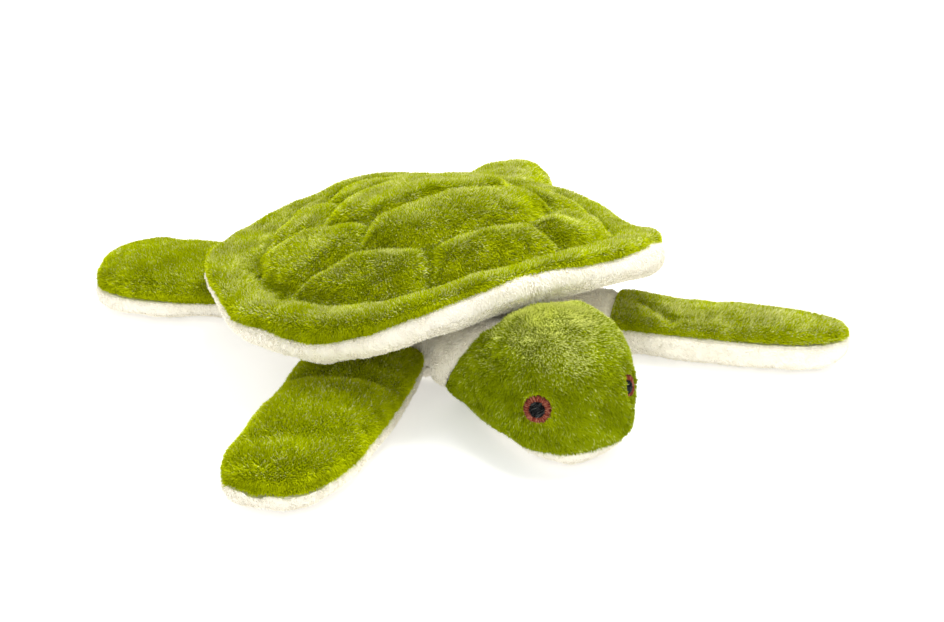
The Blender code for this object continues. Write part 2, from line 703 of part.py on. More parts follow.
def dress_head(toy, green, cream, fibre, brown, black):
    """The head on its hinge, with the manifold solver, because the exact one loses it."""
    hinge = toy.empty("head_hinge", (0.0, NECK_AXIS_Y, NECK_AXIS_HEIGHT), (0.0, 0.0, 0.0))
    form = head_mesh()
    ground = -NECK_AXIS_HEIGHT
    cloth_floor = toy.floor(ground, hinge)
    chin = toy.empty("chin_seam_frame", (0.0, HEAD_SNOUT_Y - NECK_AXIS_Y,
                                         CHIN_SEAM_HEIGHT - NECK_AXIS_HEIGHT),
                     (-CHIN_SEAM_SLOPE, 0.0, 0.0))
    chin.parent = hinge
    above = toy.box("above_chin_seam", (-REACH, -REACH, -GAP / 2), (REACH, REACH, REACH), chin)
    below = toy.box("below_chin_seam", (-REACH, -REACH, -REACH), (REACH, REACH, GAP / 2), chin)
    before = neck_seam_box(toy, "before_neck_seam", hinge, 1.0)
    behind = neck_seam_box(toy, "behind_neck_seam", hinge, -1.0)
    room, core_room, fill_room = (shell_room(toy, label, NOD_CLEARANCE + inset)
                                  for label, inset in (("head", 0.0), ("head_core", CLOTH),
                                                       ("head_filling", CLOTH + FILL_GAP)))
    core = toy.core("head_core", form, hinge, CLOTH,
                    (toy.floor(ground + CLOTH, hinge), core_room), solver="MANIFOLD")
    pockets = [dress_eye(toy, hinge, side, brown, black) for side in ("left", "right")]

    def piece(name, inset, cutters):
        return toy.form(name, form, toy.parts, hinge, inset, cutters, solver="MANIFOLD")

    fill_floor = toy.floor(ground + CLOTH + FILL_GAP, hinge)
    dress(piece("head_cover", 0.0, (core, room, below, behind, *pockets)), green)
    dress(piece("chin_panel", 0.0, (core, above, behind, cloth_floor)), cream)
    dress(piece("neck_panel", 0.0, (core, room, before, cloth_floor)), cream)
    dress(piece("head_stuffing", CLOTH + FILL_GAP, (fill_floor, fill_room)), fibre)


def disc(name, radius, low, high, group, parent):
    bm = bmesh.new()
    bmesh.ops.create_cone(bm, cap_ends=True, segments=16, radius1=radius, radius2=radius,
                          depth=high - low)
    bmesh.ops.translate(bm, vec=(0.0, 0.0, (high + low) / 2), verts=bm.verts)
    return new_object(name, mesh_from(bm, name), group, parent)


def dress_eye(toy, hinge, side, brown, black):
    """An embroidered eye: the iris ring and the pupil, let into the pile."""
    hand = 1.0 if side == "left" else -1.0
    look = Euler((math.pi / 2 - EYE_TILT, 0.0, hand * EYE_TURN), "XYZ")
    frame = toy.empty(f"eye_{side}_frame",
                      (hand * EYE_SIDE, EYE_Y - NECK_AXIS_Y, EYE_HEIGHT - NECK_AXIS_HEIGHT),
                      look)
    frame.parent = hinge
    low = -EYE_POCKET
    high = EYE_THICKNESS - EYE_POCKET
    hole = hide_cutter(disc(f"pupil_{side}_hole", PUPIL_RADIUS + GAP, low - OVERRUN,
                            high + OVERRUN, toy.cutters, frame))
    iris = disc(f"iris_{side}", EYE_RADIUS, low, high, toy.parts, frame)
    cut(iris, hole)
    dress(iris, brown)
    dress(disc(f"pupil_{side}", PUPIL_RADIUS, low, high, toy.parts, frame), black)
    return hide_cutter(disc(f"eye_{side}_pocket", EYE_RADIUS + GAP, low - GAP,
                            high + OVERRUN, toy.cutters, frame))


def main():
    clear_scene()
    toy = Toy()
    green = new_material("plush green", SHELL_GREEN, 0.95)
    head_green = new_material("plush green of the head", HEAD_GREEN, 0.95)
    cream = new_material("cream plush", CREAM, 0.95)
    fibre = new_material("polyester fibre", FIBRE, 0.9)
    brown = new_material("brown thread", IRIS_BROWN, 0.5)
    black = new_material("black thread", PUPIL_BLACK, 0.4)
    dress_shell(toy, green, cream, fibre)
    limbs = [Limb(kind, side) for kind in ("front", "rear") for side in ("left", "right")]
    for limb in limbs:
        dress_flipper(toy, limb, green, cream, fibre)
    dress_body(toy, limbs, cream, fibre)
    dress_head(toy, head_green, cream, fibre, brown, black)
    bpy.context.view_layer.update()


main()
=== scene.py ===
"""Looks of a plush sea turtle: its pile, quilting, seams and embroidered eyes.

Metres, +Z up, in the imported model's frame. The turtle faces -Y and its own left side
is +X. Every plush piece starts from copies of the model's panels: they are joined into
one smooth stuffed form, the form is parted again along the panels' seams, and each
part grows a pile of short tufts that lean with the nap.
"""
import json
import math

import bmesh
import bpy
import numpy
from bpy.props import FloatProperty, FloatVectorProperty, IntProperty, PointerProperty
from bpy.types import Operator, Panel, PropertyGroup
from mathutils import Euler, Matrix, Vector
from mathutils.bvhtree import BVHTree
from mathutils.kdtree import KDTree

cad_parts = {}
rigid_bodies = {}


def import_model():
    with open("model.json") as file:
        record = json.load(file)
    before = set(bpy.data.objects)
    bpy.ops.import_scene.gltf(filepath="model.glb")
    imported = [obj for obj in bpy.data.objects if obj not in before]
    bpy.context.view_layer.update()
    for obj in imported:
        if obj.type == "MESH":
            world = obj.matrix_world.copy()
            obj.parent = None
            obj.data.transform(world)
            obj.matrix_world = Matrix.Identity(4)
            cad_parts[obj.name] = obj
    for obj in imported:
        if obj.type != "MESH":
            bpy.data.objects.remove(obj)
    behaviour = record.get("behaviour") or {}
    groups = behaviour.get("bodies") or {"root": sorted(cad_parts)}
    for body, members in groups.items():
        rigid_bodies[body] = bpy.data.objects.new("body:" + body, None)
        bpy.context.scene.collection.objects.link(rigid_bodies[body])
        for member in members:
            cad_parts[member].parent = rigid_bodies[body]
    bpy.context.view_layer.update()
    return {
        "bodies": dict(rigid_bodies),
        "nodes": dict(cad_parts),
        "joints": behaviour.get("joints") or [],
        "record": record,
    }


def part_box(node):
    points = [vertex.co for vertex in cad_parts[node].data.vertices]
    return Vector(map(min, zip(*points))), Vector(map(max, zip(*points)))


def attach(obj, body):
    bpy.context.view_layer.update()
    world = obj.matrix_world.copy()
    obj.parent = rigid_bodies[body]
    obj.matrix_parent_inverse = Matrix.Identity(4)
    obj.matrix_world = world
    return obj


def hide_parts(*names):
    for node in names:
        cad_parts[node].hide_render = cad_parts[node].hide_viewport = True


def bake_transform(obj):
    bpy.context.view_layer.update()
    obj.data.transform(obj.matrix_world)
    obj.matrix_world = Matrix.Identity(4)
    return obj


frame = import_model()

bl_info = {
    "name": "Plush turtle looks",
    "version": (1, 0, 0),
    "blender": (4, 5, 0),
    "location": "View3D > Sidebar > Plush turtle",
    "description": "Pile, quilting, eyes and studio of a stuffed sea turtle",
    "category": "Object",
}

NODES = frame["nodes"]
MM = 0.001
MERGE = 0.01 * MM               # points nearer than this are one
UP = Vector((0.0, 0.0, 1.0))
WAVES = 7                       # waves that make up an uneven field
WAVE_GAIN = 1.6                 # which brings it to about -1 to 1

FLIPPERS = tuple(f"{kind}_flipper_{side}" for kind in ("front", "rear")
                 for side in ("left", "right"))
GREEN_PANELS = {"shell_top_panel", "head_cover"} | {limb + "_top" for limb in FLIPPERS}
HEAD_PANELS = ("head_cover", "chin_panel", "neck_panel")
SHELL_NODES = ("shell_top_panel", "shell_underside", "shell_padding")
HINGES = {joint["child"]: joint for joint in frame["joints"]}

# Sizes that the model's shell has: its half width and half length, its middle, and the
# seam round its rim, which rises over the neck and at the left fore corner
SHELL_HALF_WIDTH = 128 * MM
SHELL_HALF_LENGTH = 124 * MM
SHELL_CENTRE_Y = -1 * MM
RIM_SEAM_HEIGHT = 50 * MM
RIM_FRONT_LIFT = 31 * MM
RIM_LIFT_RUN = 80 * MM
LIFT_POWER = 1.3
RIM_SIDE_LIFT = 14 * MM
RIM_SIDE_RUN = 50 * MM
RIM_BACK_DROP = 7.5 * MM
QUILT_BOTTOM = 44 * MM          # no quilting lies lower
PANEL_REACH = 0.9               # the share of the shell within which a side is told by its slope

PLATE_EDGE = 3                  # run of a plate's crown, in widths of its sewn line
PLATE_SLOPE = (2, 0.6)          # the quilting fades out where the shell falls away

# Stuffed forms and their seams
SEAM_GAP = 0.15 * MM            # half the gap between two panels' parts at their seam
WALL_SHARE = 0.84               # reach of the shell's inner wall against its seam's
WALL_LEVELLING = 0.5            # how much of the seam's rise that wall keeps
WALL_DROP = 4 * MM              # how far it lies under the seam
FINER_LEVELS = 1                # subdivisions of a stuffed form
SHELL_SMOOTHING = 52            # rounds that even out each stuffed form
QUILT_SMOOTHING = 12
BODY_SMOOTHING = 15
FLIPPER_SMOOTHING = 19
HEAD_SMOOTHING = 19

# Pile: how lengths and leans vary from tuft to tuft, and where tips get painted glints, painted
# highlights laid mostly where the plush faces up
SHORTEST, LONGEST = 0.65, 1.15  # shares of the pile's length
PATCH_LEAN = 0.3                # how far patches, and single tufts, differ in their lean
TUFT_LEAN = 0.25
LYING = 0.15 * MM               # height of the pile that is pressed flat under the toy
GLINT_TUFTS = 0.5                # the share of tufts with a painted glint where the plush faces up
GLINT_POWER = 3                  # how fast that share falls as the plush turns away
GLINT_PATCHES = 0.6              # how far it differs from patch to patch
GLINT_EDGE = 0.12                # shares over which a tuft turns from green to its painted glint
MAP_UNROLL = 8 * MM             # how far the sides are laid out in the bake map
SEWN_WIDTH = 2.2 * MM           # half width of the pile that a quilting line holds down
SEWN_SHORTER = 0.45             # how much shorter it is there, and how much painted shade darkens it
SEWN_SHADE = 0.6
PUCKER_WIDTH = 3 * MM           # the same for the pucker over the neck, where it stands up
PUCKER_LONGER = 1.2

# The way that the pile of each form lies
SHELL_NAP = (-0.12, -1.0, -0.35)
BODY_NAP = (0.0, 0.3, -1.0)
FLIPPER_NAP = (0.0, -1.0, -0.3)
FLIPPER_NAP_OUTWARDS = 0.5
HEAD_NAP = (0.0, -1.0, -0.6)

# Each form's own part of the seed
BODY_SEED = 100
FLIPPER_SEED = 200
FLIPPER_SEED_STEP = 50
HEAD_SEED = 400
PANEL_SEED_STEP = 10

# Embroidery
TILT_AXIS = Vector((0.42, 0.80, -0.43))     # the line that the left eye is turned about
STITCH_REACH = 20 * MM          # height from which stitches are laid on the head
CROP_RUN = 2.5 * MM             # run from the cropped pile at an eye to the full pile
CROP_SEED = 3
CROPPED = 0.02                  # share of the pile's length that is left under an eye
IRIS_LAYERS = (0.3, 0.55)       # heights of the iris's two rings, as shares of a stitch's
PUPIL_SLANT = math.radians(35.0)
PUPIL_ROW = 0.75                # distance of its rows, in widths of the thread

# Corners of the quilting on the turtle's left and the ends of its seams at the ring:
# shares of the half width and of the half length, as the model has them
QUILT_CORNERS = {
    "first": (0.25, -0.50), "second": (0.50, -0.29), "third": (0.36, -0.15),
    "fourth": (0.49, 0.12), "fifth": (0.26, 0.34), "sixth": (0.36, 0.50),
    "seventh": (0.17, 0.60), "front": (0.34, -0.70), "fore": (0.81, -0.22),
    "middle": (0.76, 0.35), "aft": (0.54, 0.66), "back": (0.19, 0.80),
}
QUILT_SEAMS = (
    ("first", "second"), ("second", "third"), ("third", "fourth"), ("fourth", "fifth"),
    ("fifth", "sixth"), ("sixth", "seventh"), ("first", "front"), ("second", "fore"),
    ("fourth", "middle"), ("sixth", "aft"), ("seventh", "back"),
)
QUILT_CROSS_SEAMS = ("first", "third", "fifth", "seventh")
QUILT_LEFT_RING = (
    (0.00, -0.73), (0.17, -0.72), (0.34, -0.70), (0.51, -0.65), (0.66, -0.54),
    (0.76, -0.39), (0.81, -0.22), (0.82, -0.03), (0.80, 0.16), (0.76, 0.35),
    (0.67, 0.52), (0.54, 0.66), (0.37, 0.75), (0.19, 0.80), (0.00, 0.82),
)
# The ring on the turtle's right, which lies further in beside the shell's middle
QUILT_RIGHT_RING = (
    (0.00, -0.73), (0.17, -0.71), (0.34, -0.67), (0.49, -0.62), (0.63, -0.59),
    (0.70, -0.48), (0.75, -0.32), (0.79, -0.12), (0.80, 0.06), (0.74, 0.24),
    (0.63, 0.38), (0.52, 0.58), (0.37, 0.73), (0.19, 0.80), (0.00, 0.82),
)
# How far the seam round the rim lies off its even run: bearing in degrees, millimetres
RIM_SEAM_MOVES = (
    (-180, -4.5), (-171, -4.7), (-159, -1), (-147, -1), (-139, 0), (-125, 1.5), (-116, 2),
    (-107, 2.5), (-99, 4), (-93, 6), (-85, 4.5), (-77, 0.5), (-66, 1), (-57, 4.2), (-50, 6),
    (-35, 3), (-15, 0), (120, 0), (150, -4.5), (180, -4.5),
)
# Flippers whose green panel ends at a seam across the root: a point in plan and how far
# out from it the seam lies, in millimetres
ROOT_ENDS = {"front_flipper_left": ((76, -60), 13)}
# How many painted glints a panel's tips get, against the shell's: fewer on the right flippers, as
# painted shade on the side away from the light, and more on the head, as painted highlight on its
# top
GLINT_SHARES = {"front_flipper_right_top": 0.4, "rear_flipper_right_top": 0.4,
                "head_cover": 2.3}

# Folds, in millimetres: start, end, depth and half width. A flat one, with two axes,
# sinks the upper side only
FOLDS = {
    "shell": (((0, -124, 86), (0, -127, 64), 2.2, 2.6),),
    "front_flipper_right": (((-113, -64), (-71, -97), 2.6, 6),
                            ((-160, -112), (-130, -128), 1.8, 7)),
    "front_flipper_left": (((99, -78), (103, -102), 3.2, 4),
                           ((140, -95), (128, -125), 1.4, 6)),
    "head": (((23.0, -180.0, 50.0), (26.0, -183.0, 31.0), 3.2, 4.5),),
}
# Local swellings and dents, in millimetres: middle, move and reach
NUDGES = {
    "shell": (((98, -99, 63), (-4, 0, 0), 30), ((-85, 80, 52), (0, 0, -5.5), 40),
              ((-50, 104, 51), (0, 0, -4), 34), ((-20, 110, 51), (0, 0, -2.5), 16),
              ((14, 110, 52), (0, 0, 3.5), 22), ((117, -28, 55), (-2, 0, -2.6), 26),
              ((-129, -22, 42), (-4, 0, -2.5), 22), ((-42, -79, 74), (0, 0.5, -2), 9),
              ((58, -53, 82), (0, 0, -2.5), 9), ((-102, 11, 52), (1, 0, -3), 3.5),
              ((-97, -27, 59), (1, 1, -3), 3.5), ((-82, 42, 59), (1, 0, -3), 3.5)),
    "body": (((-32, -68, 12), (-3, -3, -1), 16),),
    "head": (((-38, -82, 12), (-3.5, -3, -1), 18), ((36, -176, 38), (-2.2, 0.5, 0), 14)),
    "front_flipper_right": (((-155, -150, 10), (-4, -8, 0), 36),
                            ((-177, -131, 10), (-4, 0.5, 0), 24)),
    "front_flipper_left": (((165, -150, 8), (-2, -4, 0), 45),
                           ((118, -88, 26), (0, 0, -3), 22)),
    "rear_flipper_right": (((-155, 90, 10), (-2, -4, 0), 30),),
    "rear_flipper_left": (((118, 162, 25), (3, -4, -3), 18), ((150, 146, 24), (0, 0, 3), 14)),
}

# Each material by its slot: name, colours at the root, the tip and the tips' painted glints, how
# far the root's darker colour reaches as painted shade deep in the pile, unevenness, roughness and
# sheen
FINISHES = {
    "green_plush": ("green plush", "green_root_shade", "green_tip", "green_glint",
                    0.6, 0.7, 0.6, 0.01),
    "head_plush": ("shaded green plush of the head", "head_root_shade", "head_shaded_tip", "head_glint",
                   0.35, 0.7, 0.6, 0.01),
    "cream_plush": ("cream plush", "cream_root_shade", "cream_tip", "cream_glint",
                    0.6, 0.1, 0.7, 0.04),
    "iris_thread": ("brown thread of the eyes", "iris_root", "iris", "iris_glint",
                    1.0, 0.4, 0.6, 0.0),
    "pupil_thread": ("black thread of the eyes", "pupil", "pupil", "pupil_glint",
                     1.0, 0.4, 0.4, 0.0),
}
GLOSS = 0.05                    # specular level of every thread
SHEEN_ROUGHNESS = 0.4

# Lamps: name, place, the point that each faces, and size
LAMPS = (("key", (0.45, 0.10, 1.25), (0.0, -0.02, 0.03), 0.8),
         ("fill", (-0.95, -0.75, 0.8), (0.0, -0.05, 0.03), 0.8))


class PlushTurtlePile(PropertyGroup):
    """The pile of the plush."""
    green_length: FloatProperty(name="Green pile", description="Length of the green tufts",
                                default=3.1 * MM, unit="LENGTH")
    cream_length: FloatProperty(name="Cream pile", description="Length of the cream tufts",
                                default=1.7 * MM, unit="LENGTH")
    lean: FloatProperty(name="Lean", description="How far the green tufts lie over",
                        default=math.radians(32.0), subtype="ANGLE")
    head_lean: FloatProperty(name="Head lean", description="How far the head's tufts lie over",
                             default=math.radians(40.0), subtype="ANGLE")
    cream_lean: FloatProperty(name="Cream lean", description="How far the cream tufts lie over",
                              default=math.radians(60.0), subtype="ANGLE")
    stray: FloatProperty(name="Stray", description="How far single tufts stray from the nap",
                         default=math.radians(30.0), subtype="ANGLE")
    clump: FloatProperty(name="Clump", description="How far neighbouring tips come together",
                         default=0.08, min=0.0, max=1.0)
    clump_size: IntProperty(name="Clump size", description="Tufts that come together",
                            default=4, min=1)
    # How far the painted glints, painted highlights on the tips, keep to the surfaces that face up
    painted_glints: FloatProperty(name="Painted glints", description="How far the pale tips keep to the top",
                         default=0.91, min=0.0, max=1.0)
    scatter: FloatProperty(name="Scatter", description="How far roots lie off their rows",
                           default=0.1 * MM, unit="LENGTH")
    ground: FloatProperty(name="Ground depth", description="Cloth below the panel's surface",
                          default=2.0 * MM, unit="LENGTH")
    cream_ground: FloatProperty(name="Cream ground depth", unit="LENGTH", default=1.0 * MM,
                                description="Cloth below the surface of the cream panels")
    patch: FloatProperty(name="Patch", description="Size of the patches that lie alike",
                         default=12 * MM, unit="LENGTH")
    seed: IntProperty(name="Seed", description="Seed of the tufts' scatter", default=7)


class PlushTurtleForm(PropertyGroup):
    """The stuffed forms under the pile."""
    voxel: FloatProperty(name="Voxel", description="Grid that joins a form's panels",
                         default=1.95 * MM, unit="LENGTH")
    swell: FloatProperty(name="Swell", description="How far panels grow so that they join",
                         default=0.6 * MM, unit="LENGTH")
    crease: FloatProperty(name="Seam depth", description="How far a seam draws the cloth in",
                          default=1.8 * MM, unit="LENGTH")
    crease_width: FloatProperty(name="Seam width", description="Half width of a seam's valley",
                                default=2.8 * MM, unit="LENGTH")
    channel: FloatProperty(name="Channel depth", description="Depth of a sewn quilting line",
                           default=1.5 * MM, unit="LENGTH")
    channel_width: FloatProperty(name="Channel width", description="Half width of that line",
                                 default=3.8 * MM, unit="LENGTH")
    puff: FloatProperty(name="Puff", description="Rise of a quilted plate",
                        default=2.0 * MM, unit="LENGTH")
    lump: FloatProperty(name="Lumps", description="Unevenness of the stuffing",
                        default=0.9 * MM, unit="LENGTH")
    lump_size: FloatProperty(name="Lump size", description="Length from lump to lump",
                             default=34 * MM, unit="LENGTH")


def colour_property(name, description, colour):
    return FloatVectorProperty(name=name, description=description, default=colour, size=3,
                               min=0.0, max=1.0, subtype="COLOR")


class PlushTurtleColours(PropertyGroup):
    """The colours, as linear values. The roots' darker colours are painted shade, and the glint
    colours are painted highlights on the tips.
    """
    green_root_shade: colour_property("Green root", "Green pile at its root", (0.24, 0.29, 0.0))
    green_tip: colour_property("Green tip", "Green pile at its tip", (0.60, 0.66, 0.0))
    green_glint: colour_property("Pale green", "The palest green tips", (1.0, 0.98, 0.56))
    # The head's colours are darker copies of the green pile's, as painted shade on the head's face
    # that is turned to the camera
    head_root_shade: colour_property("Head's root", "The head's pile at its root", (0.15, 0.185, 0.0))
    head_shaded_tip: colour_property("Head's tip", "The head's pile at its tip", (0.36, 0.43, 0.0))
    head_glint: colour_property("Head's pale tips", "The palest tips of the head",
                               (0.98, 1.0, 0.34))
    cream_root_shade: colour_property("Cream root", "Cream pile at its root", (0.92, 0.87, 0.74))
    cream_tip: colour_property("Cream tip", "Cream pile at its tip", (0.97, 0.94, 0.85))
    cream_glint: colour_property("Pale cream", "The palest cream tips", (0.97, 0.96, 0.92))
    iris_root: colour_property("Deep iris", "Brown thread in shade", (0.05, 0.008, 0.006))
    iris: colour_property("Iris", "Brown thread of the eye", (0.21, 0.038, 0.022))
    iris_glint: colour_property("Pale iris", "Shine of the brown thread", (0.52, 0.22, 0.13))
    pupil: colour_property("Pupil", "Black thread of the eye", (0.003, 0.003, 0.004))
    pupil_glint: colour_property("Pale pupil", "Shine of the black thread", (0.10, 0.105, 0.10))


class PlushTurtleEyes(PropertyGroup):
    """The embroidery of the eyes."""
    iris_radius: FloatProperty(name="Iris", description="Outer radius of the brown ring",
                               default=7.5 * MM, unit="LENGTH")
    pupil_radius: FloatProperty(name="Pupil", description="Radius of the black middle",
                                default=4.1 * MM, unit="LENGTH")
    thread: FloatProperty(name="Thread", description="Width of the thread",
                          default=0.42 * MM, unit="LENGTH")
    lift: FloatProperty(name="Lift", description="Height of a stitch over the cloth",
                        default=0.7 * MM, unit="LENGTH")
    stitches: IntProperty(name="Stitches", description="Stitches round the iris", default=120)
    fill_stitch: FloatProperty(name="Fill stitch", description="Length of a pupil's stitch",
                               default=2.4 * MM, unit="LENGTH")
    jitter: FloatProperty(name="Jitter", description="Unevenness of the stitches' ends",
                          default=0.6 * MM, unit="LENGTH")
    left_shift: FloatVectorProperty(name="Left eye's shift", size=3, subtype="XYZ",
                                    description="How far the left eye sits off its mirrored place",
                                    default=(-4.4 * MM, -1.9 * MM, -0.7 * MM), unit="LENGTH")
    right_shift: FloatVectorProperty(name="Right eye's shift", size=3, subtype="XYZ",
                                     description="How far the right eye sits off its place",
                                     default=(-0.8 * MM, 0.1 * MM, -0.65 * MM), unit="LENGTH")
    left_tilt: FloatProperty(name="Left eye's tilt", subtype="ANGLE",
                             description="How far the left eye is turned downwards",
                             default=math.radians(14.0))
    left_scale: FloatProperty(name="Left eye's scale", description="Its size as it is drawn in",
                              default=0.88, min=0.1)
    margin: FloatProperty(name="Bare margin", description="Cropped pile round the eye",
                          default=0.2 * MM, unit="LENGTH")
    upstream: FloatProperty(name="Upstream", description="Shift of the margin against the nap",
                            default=1.3 * MM, unit="LENGTH")


class PlushTurtleStudio(PropertyGroup):
    """Camera and light."""
    lens: FloatProperty(name="Lens", description="Focal length in mm", default=68.8)
    camera_place: FloatVectorProperty(name="Camera", description="Place of the camera",
                                      default=(-0.4361, -0.8638, 0.4743), size=3,
                                      subtype="XYZ", unit="LENGTH")
    camera_target: FloatVectorProperty(name="Target", description="Point that it looks at",
                                       default=(0.0056, -0.0436, 0.0280), size=3,
                                       subtype="XYZ", unit="LENGTH")
    key_power: FloatProperty(name="Key", description="Power of the main lamp in W",
                             default=25.0)
    fill_power: FloatProperty(name="Fill", description="Power of the side lamp in W",
                               default=2.5)
    world_light: FloatProperty(name="World", description="Strength of the room's light",
                               default=0.75)
    floor_glow: FloatProperty(name="Floor", description="Glow that keeps the floor white",
                              default=0.35)


def settings():
    return bpy.context.scene.plush_turtle


# Meshes as arrays

def vectors_of(items, name):
    """One property of all the vertices or faces, one row each."""
    values = numpy.empty(len(items) * 3)
    items.foreach_get(name, values)
    return values.reshape(-1, 3)


def points_of(mesh):
    return vectors_of(mesh.vertices, "co")


def normals_of(mesh):
    return vectors_of(mesh.vertices, "normal")


def place(mesh, points):
    mesh.vertices.foreach_set("co", numpy.asarray(points, numpy.float32).ravel())
    mesh.update()


def unit(vectors):
    return vectors / numpy.maximum(numpy.linalg.norm(vectors, axis=1, keepdims=True), 1e-9)


def ripple(points, length, seed):
    """A smooth uneven field of about that wave length, mostly from -1 to 1."""
    rng = numpy.random.default_rng(seed)
    ways = unit(rng.normal(size=(WAVES, 3)))
    waves = ways * rng.uniform(0.7, 1.5, (WAVES, 1)) * 2 * math.pi / length
    starts = rng.uniform(0, 2 * math.pi, WAVES)
    return numpy.sin(points @ waves.T + starts).mean(axis=1) * WAVE_GAIN


def relax(mesh, rounds, spread=0.5, keep=0.53):
    """Even a surface out, and let it swell back so that the form keeps its size."""
    points = points_of(mesh)
    ends = numpy.empty(len(mesh.edges) * 2, int)
    mesh.edges.foreach_get("vertices", ends)
    one, other = ends.reshape(-1, 2).T
    count = len(points)
    degree = numpy.bincount(one, minlength=count) + numpy.bincount(other, minlength=count)
    for _ in range(rounds):
        for step in (spread, -keep):
            total = numpy.empty_like(points)
            for axis in range(3):
                total[:, axis] = (
                    numpy.bincount(one, weights=points[other, axis], minlength=count)
                    + numpy.bincount(other, weights=points[one, axis], minlength=count))
            points += step * (total / degree[:, None] - points)
    place(mesh, points)


# Stuffed forms

def mesh_of(bm, name):
    mesh = bpy.data.meshes.new(name)
    bm.to_mesh(mesh)
    bm.free()
    return mesh


def evaluated_mesh(mesh, name, add_modifiers):
    """The mesh as its modifiers leave it."""
    thing = bpy.data.objects.new(name, mesh)
    bpy.context.scene.collection.objects.link(thing)
    add_modifiers(thing)
    graph = bpy.context.evaluated_depsgraph_get()
    result = bpy.data.meshes.new_from_object(thing.evaluated_get(graph))
    bpy.data.objects.remove(thing)
    bpy.data.meshes.remove(mesh)
    return result


def joined_panels(nodes, swell):
    """Copies of the panels, grown a little so that they run into each other."""
    whole = bmesh.new()
    for node in nodes:
        copy = bmesh.new()
        copy.from_mesh(NODES[node].data)
        bmesh.ops.remove_doubles(copy, verts=copy.verts, dist=MERGE)
        copy.normal_update()
        for vertex in copy.verts:
            vertex.co += vertex.normal * swell
        part = mesh_of(copy, "panel")
        whole.from_mesh(part)
        bpy.data.meshes.remove(part)
    return mesh_of(whole, "panels")


def outer_skin(mesh):
    """Keep the largest connected surface, and drop the hollows inside it."""
    bm = bmesh.new()
    bm.from_mesh(mesh)
    left = set(bm.verts)
    skins = []
    while left:
        row = [left.pop()]
        skin = []
        while row:
            vertex = row.pop()
            skin.append(vertex)
            for edge in vertex.link_edges:
                other = edge.other_vert(vertex)
                if other in left:
                    left.remove(other)
                    row.append(other)
        skins.append(skin)
    skins.sort(key=len)
    bmesh.ops.delete(bm, geom=[vertex for skin in skins[:-1] for vertex in skin],
                     context="VERTS")
    bm.to_mesh(mesh)
    bm.free()
    mesh.update()


def stuffed_form(name, nodes, rounds):
    """One smooth closed form that fills the panels."""
    form = settings().form

    def remesh(thing):
        modifier = thing.modifiers.new("join", "REMESH")
        modifier.mode = "VOXEL"
        modifier.voxel_size = form.voxel

    mesh = evaluated_mesh(joined_panels(nodes, form.swell), name, remesh)
    outer_skin(mesh)
    relax(mesh, rounds)
    return mesh


def finer(mesh, levels):
    """The mesh with its faces divided smoothly."""
    def divide(thing):
        modifier = thing.modifiers.new("finer", "SUBSURF")
        modifier.levels = levels
        modifier.render_levels = levels

    return evaluated_mesh(mesh, mesh.name, divide)


def panel_distances(points, panels):
    """Distance from each point to each panel, one row a panel."""
    rows = []
    for panel in panels:
        data = NODES[panel].data
        tree = BVHTree.FromPolygons([vertex.co for vertex in data.vertices],
                                    [polygon.vertices for polygon in data.polygons])
        rows.append([tree.find_nearest(point)[3] for point in points])
    return numpy.array(rows)


def seam_fields(mesh, panels):
    """For each panel, how much nearer each point of a form is to it than to the others."""
    distances = panel_distances(points_of(mesh), panels)
    fields = {}
    for index, panel in enumerate(panels):
        others = numpy.delete(distances, index, axis=0)
        fields[panel] = others.min(axis=0) - distances[index]
    return fields


def away_from(points, lines):
    """Distance from each point to the nearest line, in plan where the lines are flat."""
    nearest = numpy.full(len(points), numpy.inf)
    for start, end in lines:
        start = numpy.array(start)
        along = numpy.array(end) - start
        from_start = points[:, :len(start)] - start
        share = numpy.clip(from_start @ along / (along @ along), 0, 1)
        nearest = numpy.minimum(nearest, numpy.linalg.norm(
            from_start - share[:, None] * along, axis=1))
    return nearest


def bell(away, reach):
    """A smooth share that is 1 at no distance and falls to nothing past the reach."""
    return numpy.exp(-(away / reach) ** 2)


def shaped(mesh, name):
    """Sink the folds of a form and move its swellings, as the tables at the top say."""
    points = points_of(mesh)
    normals = normals_of(mesh)
    for start, end, depth, width in FOLDS.get(name, ()):
        start = numpy.array(start) * MM
        sunk = depth * MM * bell(away_from(points, [(start, numpy.array(end) * MM)]), width * MM)
        if len(start) == 2:
            sunk *= numpy.clip(2 * normals[:, 2], 0, 1)
        points -= normals * sunk[:, None]
    for centre, move, reach in NUDGES.get(name, ()):
        away = numpy.linalg.norm(points - numpy.array(centre) * MM, axis=1)
        points += bell(away, reach * MM)[:, None] * numpy.array(move) * MM
    place(mesh, points)
    return mesh


# Parting a form along its seams

